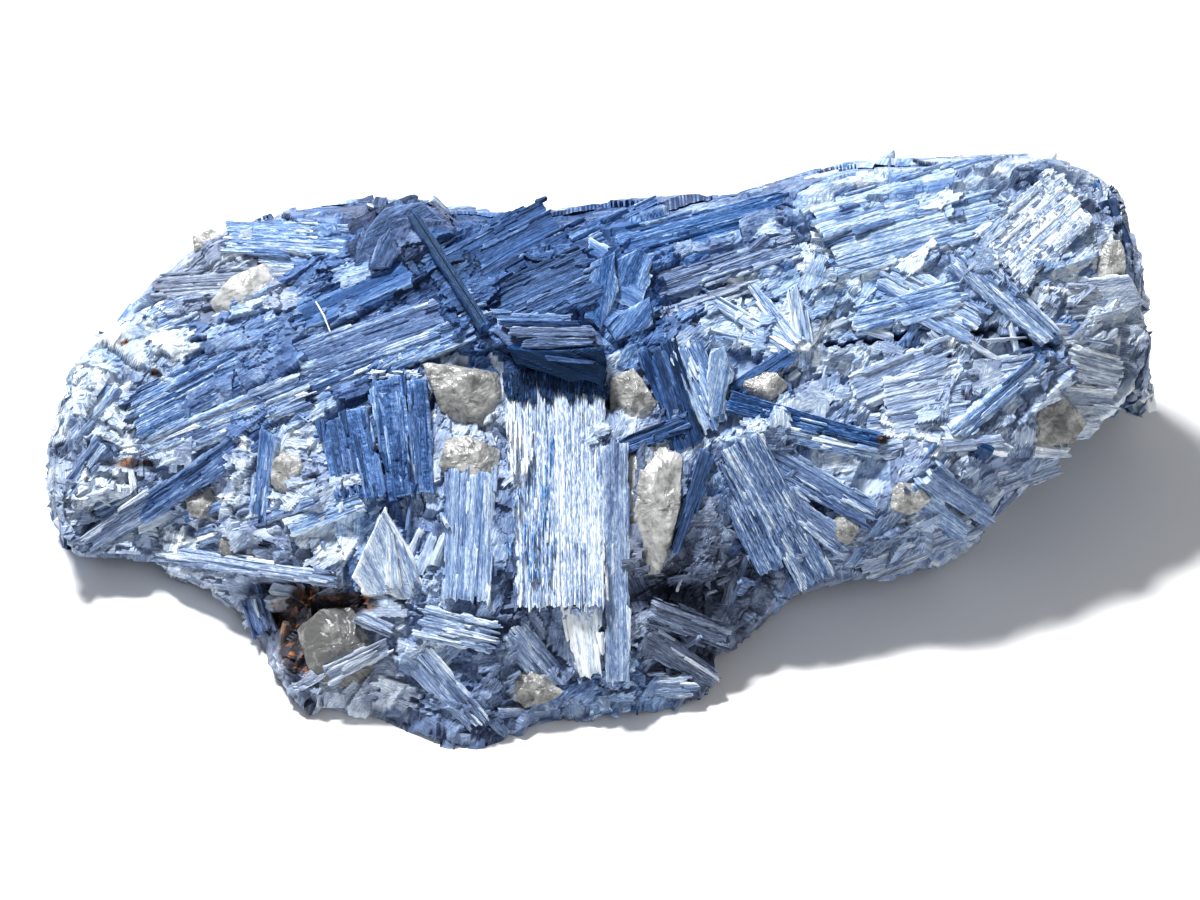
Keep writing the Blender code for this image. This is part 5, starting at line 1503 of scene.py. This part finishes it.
def quartz_lump(centre, half_sizes, corners, seed):
    """A closed block: (sin / reach)^p + (cos / depth)^p = 1 round its outline, then cut by random planes."""
    chance = np.random.default_rng(seed)
    polar = np.linspace(0, np.pi, GRAIN_SIDE // 2 + 1)
    turn = np.linspace(0, 2 * np.pi, GRAIN_SIDE, endpoint=False)
    polar, turn = np.meshgrid(polar, turn, indexing="ij")
    ways = np.stack([np.sin(polar) * np.cos(turn), np.sin(polar) * np.sin(turn), np.cos(polar)], 2)
    radius = (np.sin(polar) / outline_reach(corners, turn)) ** SQUARENESS
    radius = (radius + (np.abs(np.cos(polar)) / half_sizes[2]) ** SQUARENESS) ** (-1 / SQUARENESS)
    shape = ways * radius[..., None]
    fronts = unit(chance.normal(size=(PLANES, 3)) * (0.5, 0.5, 0.1) + (0, 0, 1))
    planes = np.concatenate([fronts, unit(chance.normal(size=(PLANES, 3)))])
    support = np.linalg.norm(planes * half_sizes, axis=1)
    support = support * np.concatenate([chance.uniform(0.78, 1.0, PLANES), chance.uniform(0.98, 1.3, PLANES)])
    height = np.maximum(shape @ planes.T, 1e-3)
    shape = shape * np.minimum((support / height).min(2), 1.0)[..., None]
    flats, slant = nearest_cell(shape / FLAT_SIZE + seed, 5)
    bend = (slant * (np.stack([scrambled(flats, 9 + k) for k in range(3)], -1) - 0.5)).sum(-1) * 0.5
    bend = bend + (scrambled(nearest_cell(shape / PIT_SIZE + seed, 6)[0], 10) - 0.5) * 0.22
    bend[[0, -1]] = 0
    shape = shape + ways * bend[..., None]
    points = centre + shape[..., :1] * RIGHT + shape[..., 1:2] * RISE + shape[..., 2:] * OUT
    order = np.arange(polar.size).reshape(polar.shape)
    return points.reshape(-1, 3), grid_faces(order, np.roll(order, -1, 1))


def chipped_outline(half_across, half_up, seed):
    """An uneven polygon of seven corners close to an ellipse."""
    chance = np.random.default_rng(seed)
    turn = np.linspace(0, 2 * np.pi, 7, endpoint=False) + chance.uniform(-0.3, 0.3, 7)
    reach = chance.uniform(0.8, 1.08, 7)
    return np.stack([np.cos(turn) * half_across * reach, np.sin(turn) * half_up * reach], 1)


# how much paler a grain is than the rest; the lower-left grain is darkened as painted shade
PALENESS_AND_SHADE = {"quartz_top_left": 0.16, "quartz_tall": 0.03, "quartz_lower_left": -0.18, "quartz_right_low": -0.08,
        "quartz_corner": 0.05, "quartz_centre_high": -0.01, "quartz_foot": -0.03}
quartz = quartz_finish()
for row, (name, across, up, out, *half_sizes) in enumerate(GRAINS):
    corners = chipped_outline(*half_sizes[:2], 80 + row)
    if name in OUTLINES:
        corners = np.array(OUTLINES[name])[::-1]
        across, up = (corners.max(0) + corners.min(0)) / 2
        corners = corners - (across, up)
    centre = show_place(across, up, depth_at(across, up) + out)
    points, faces = quartz_lump(centre, half_sizes, corners, 60 + row)
    points[:, 2] = np.maximum(points[:, 2], ABOVE_TABLE)
    shade = np.ones((len(points), 1)) * (PALENESS_AND_SHADE.get(name, 0.0), 0, 0)
    lump = new_piece(name + "_lump", points, faces, {"shade": shade}, quartz)
    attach(lump, "root")
    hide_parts(name)

# ================================================================ the camera, the lamps and the table
# The specimen lies on a plain white table, seen from the front at 42 degrees, under a small soft lamp above
# and behind it and a wide, weak one in front. The camera's distance and its view's width are in millimetres.
VIEW_FROM = 2500
FRAME_WIDE = 240
SENSOR = 36
AIM = CENTRE + 20 * OUT
camera_data = bpy.data.cameras.new("camera")
camera_data.sensor_width = SENSOR
camera_data.lens = SENSOR * VIEW_FROM / FRAME_WIDE
camera = bpy.data.objects.new("camera", camera_data)
camera.location = (AIM + VIEW_FROM * OUT) * MM
camera.rotation_euler = (math.radians(90) - TILT, 0, 0)
bpy.context.collection.objects.link(camera)
bpy.context.scene.camera = camera

LAMP_AIM = np.array([0, 0, 0.03])


def soft_lamp(name, place, size, power):
    """A square lamp that faces the specimen; its place and size are in metres, its power in watts."""
    data = bpy.data.lights.new(name, "AREA")
    data.size = size
    data.energy = power
    lamp = bpy.data.objects.new(name, data)
    lamp.location = place
    away = unit(np.array(place) - LAMP_AIM)
    lamp.rotation_euler = (math.acos(away[2]), 0, math.atan2(away[1], away[0]) + math.pi / 2)
    bpy.context.collection.objects.link(lamp)


soft_lamp("key", (-0.35, 0.22, 1.1), 0.2, 26)
soft_lamp("fill", (0.4, -1.0, 0.9), 0.8, 3)
world = bpy.data.worlds.new("studio")
world.use_nodes = True
sky = world.node_tree.nodes["Background"]
sky.inputs["Color"].default_value = (0.95, 0.97, 1.0, 1)
sky.inputs["Strength"].default_value = 0.26
bpy.context.scene.world = world
bpy.context.scene.view_settings.view_transform = "Standard"

TABLE_HALF = 2.0
table_corners = [(x * TABLE_HALF, y * TABLE_HALF, 0) for x, y in ((-1, -1), (1, -1), (1, 1), (-1, 1))]
table_mesh = bpy.data.meshes.new("table")
table_mesh.from_pydata(table_corners, [], [(0, 1, 2, 3)])
table_white, _, _ = new_finish("table_white", {"Base Color": (0.9, 0.9, 0.9, 1), "Roughness": 0.9})
table_mesh.materials.append(table_white)
table = bpy.data.objects.new("table", table_mesh)
bpy.context.collection.objects.link(table)
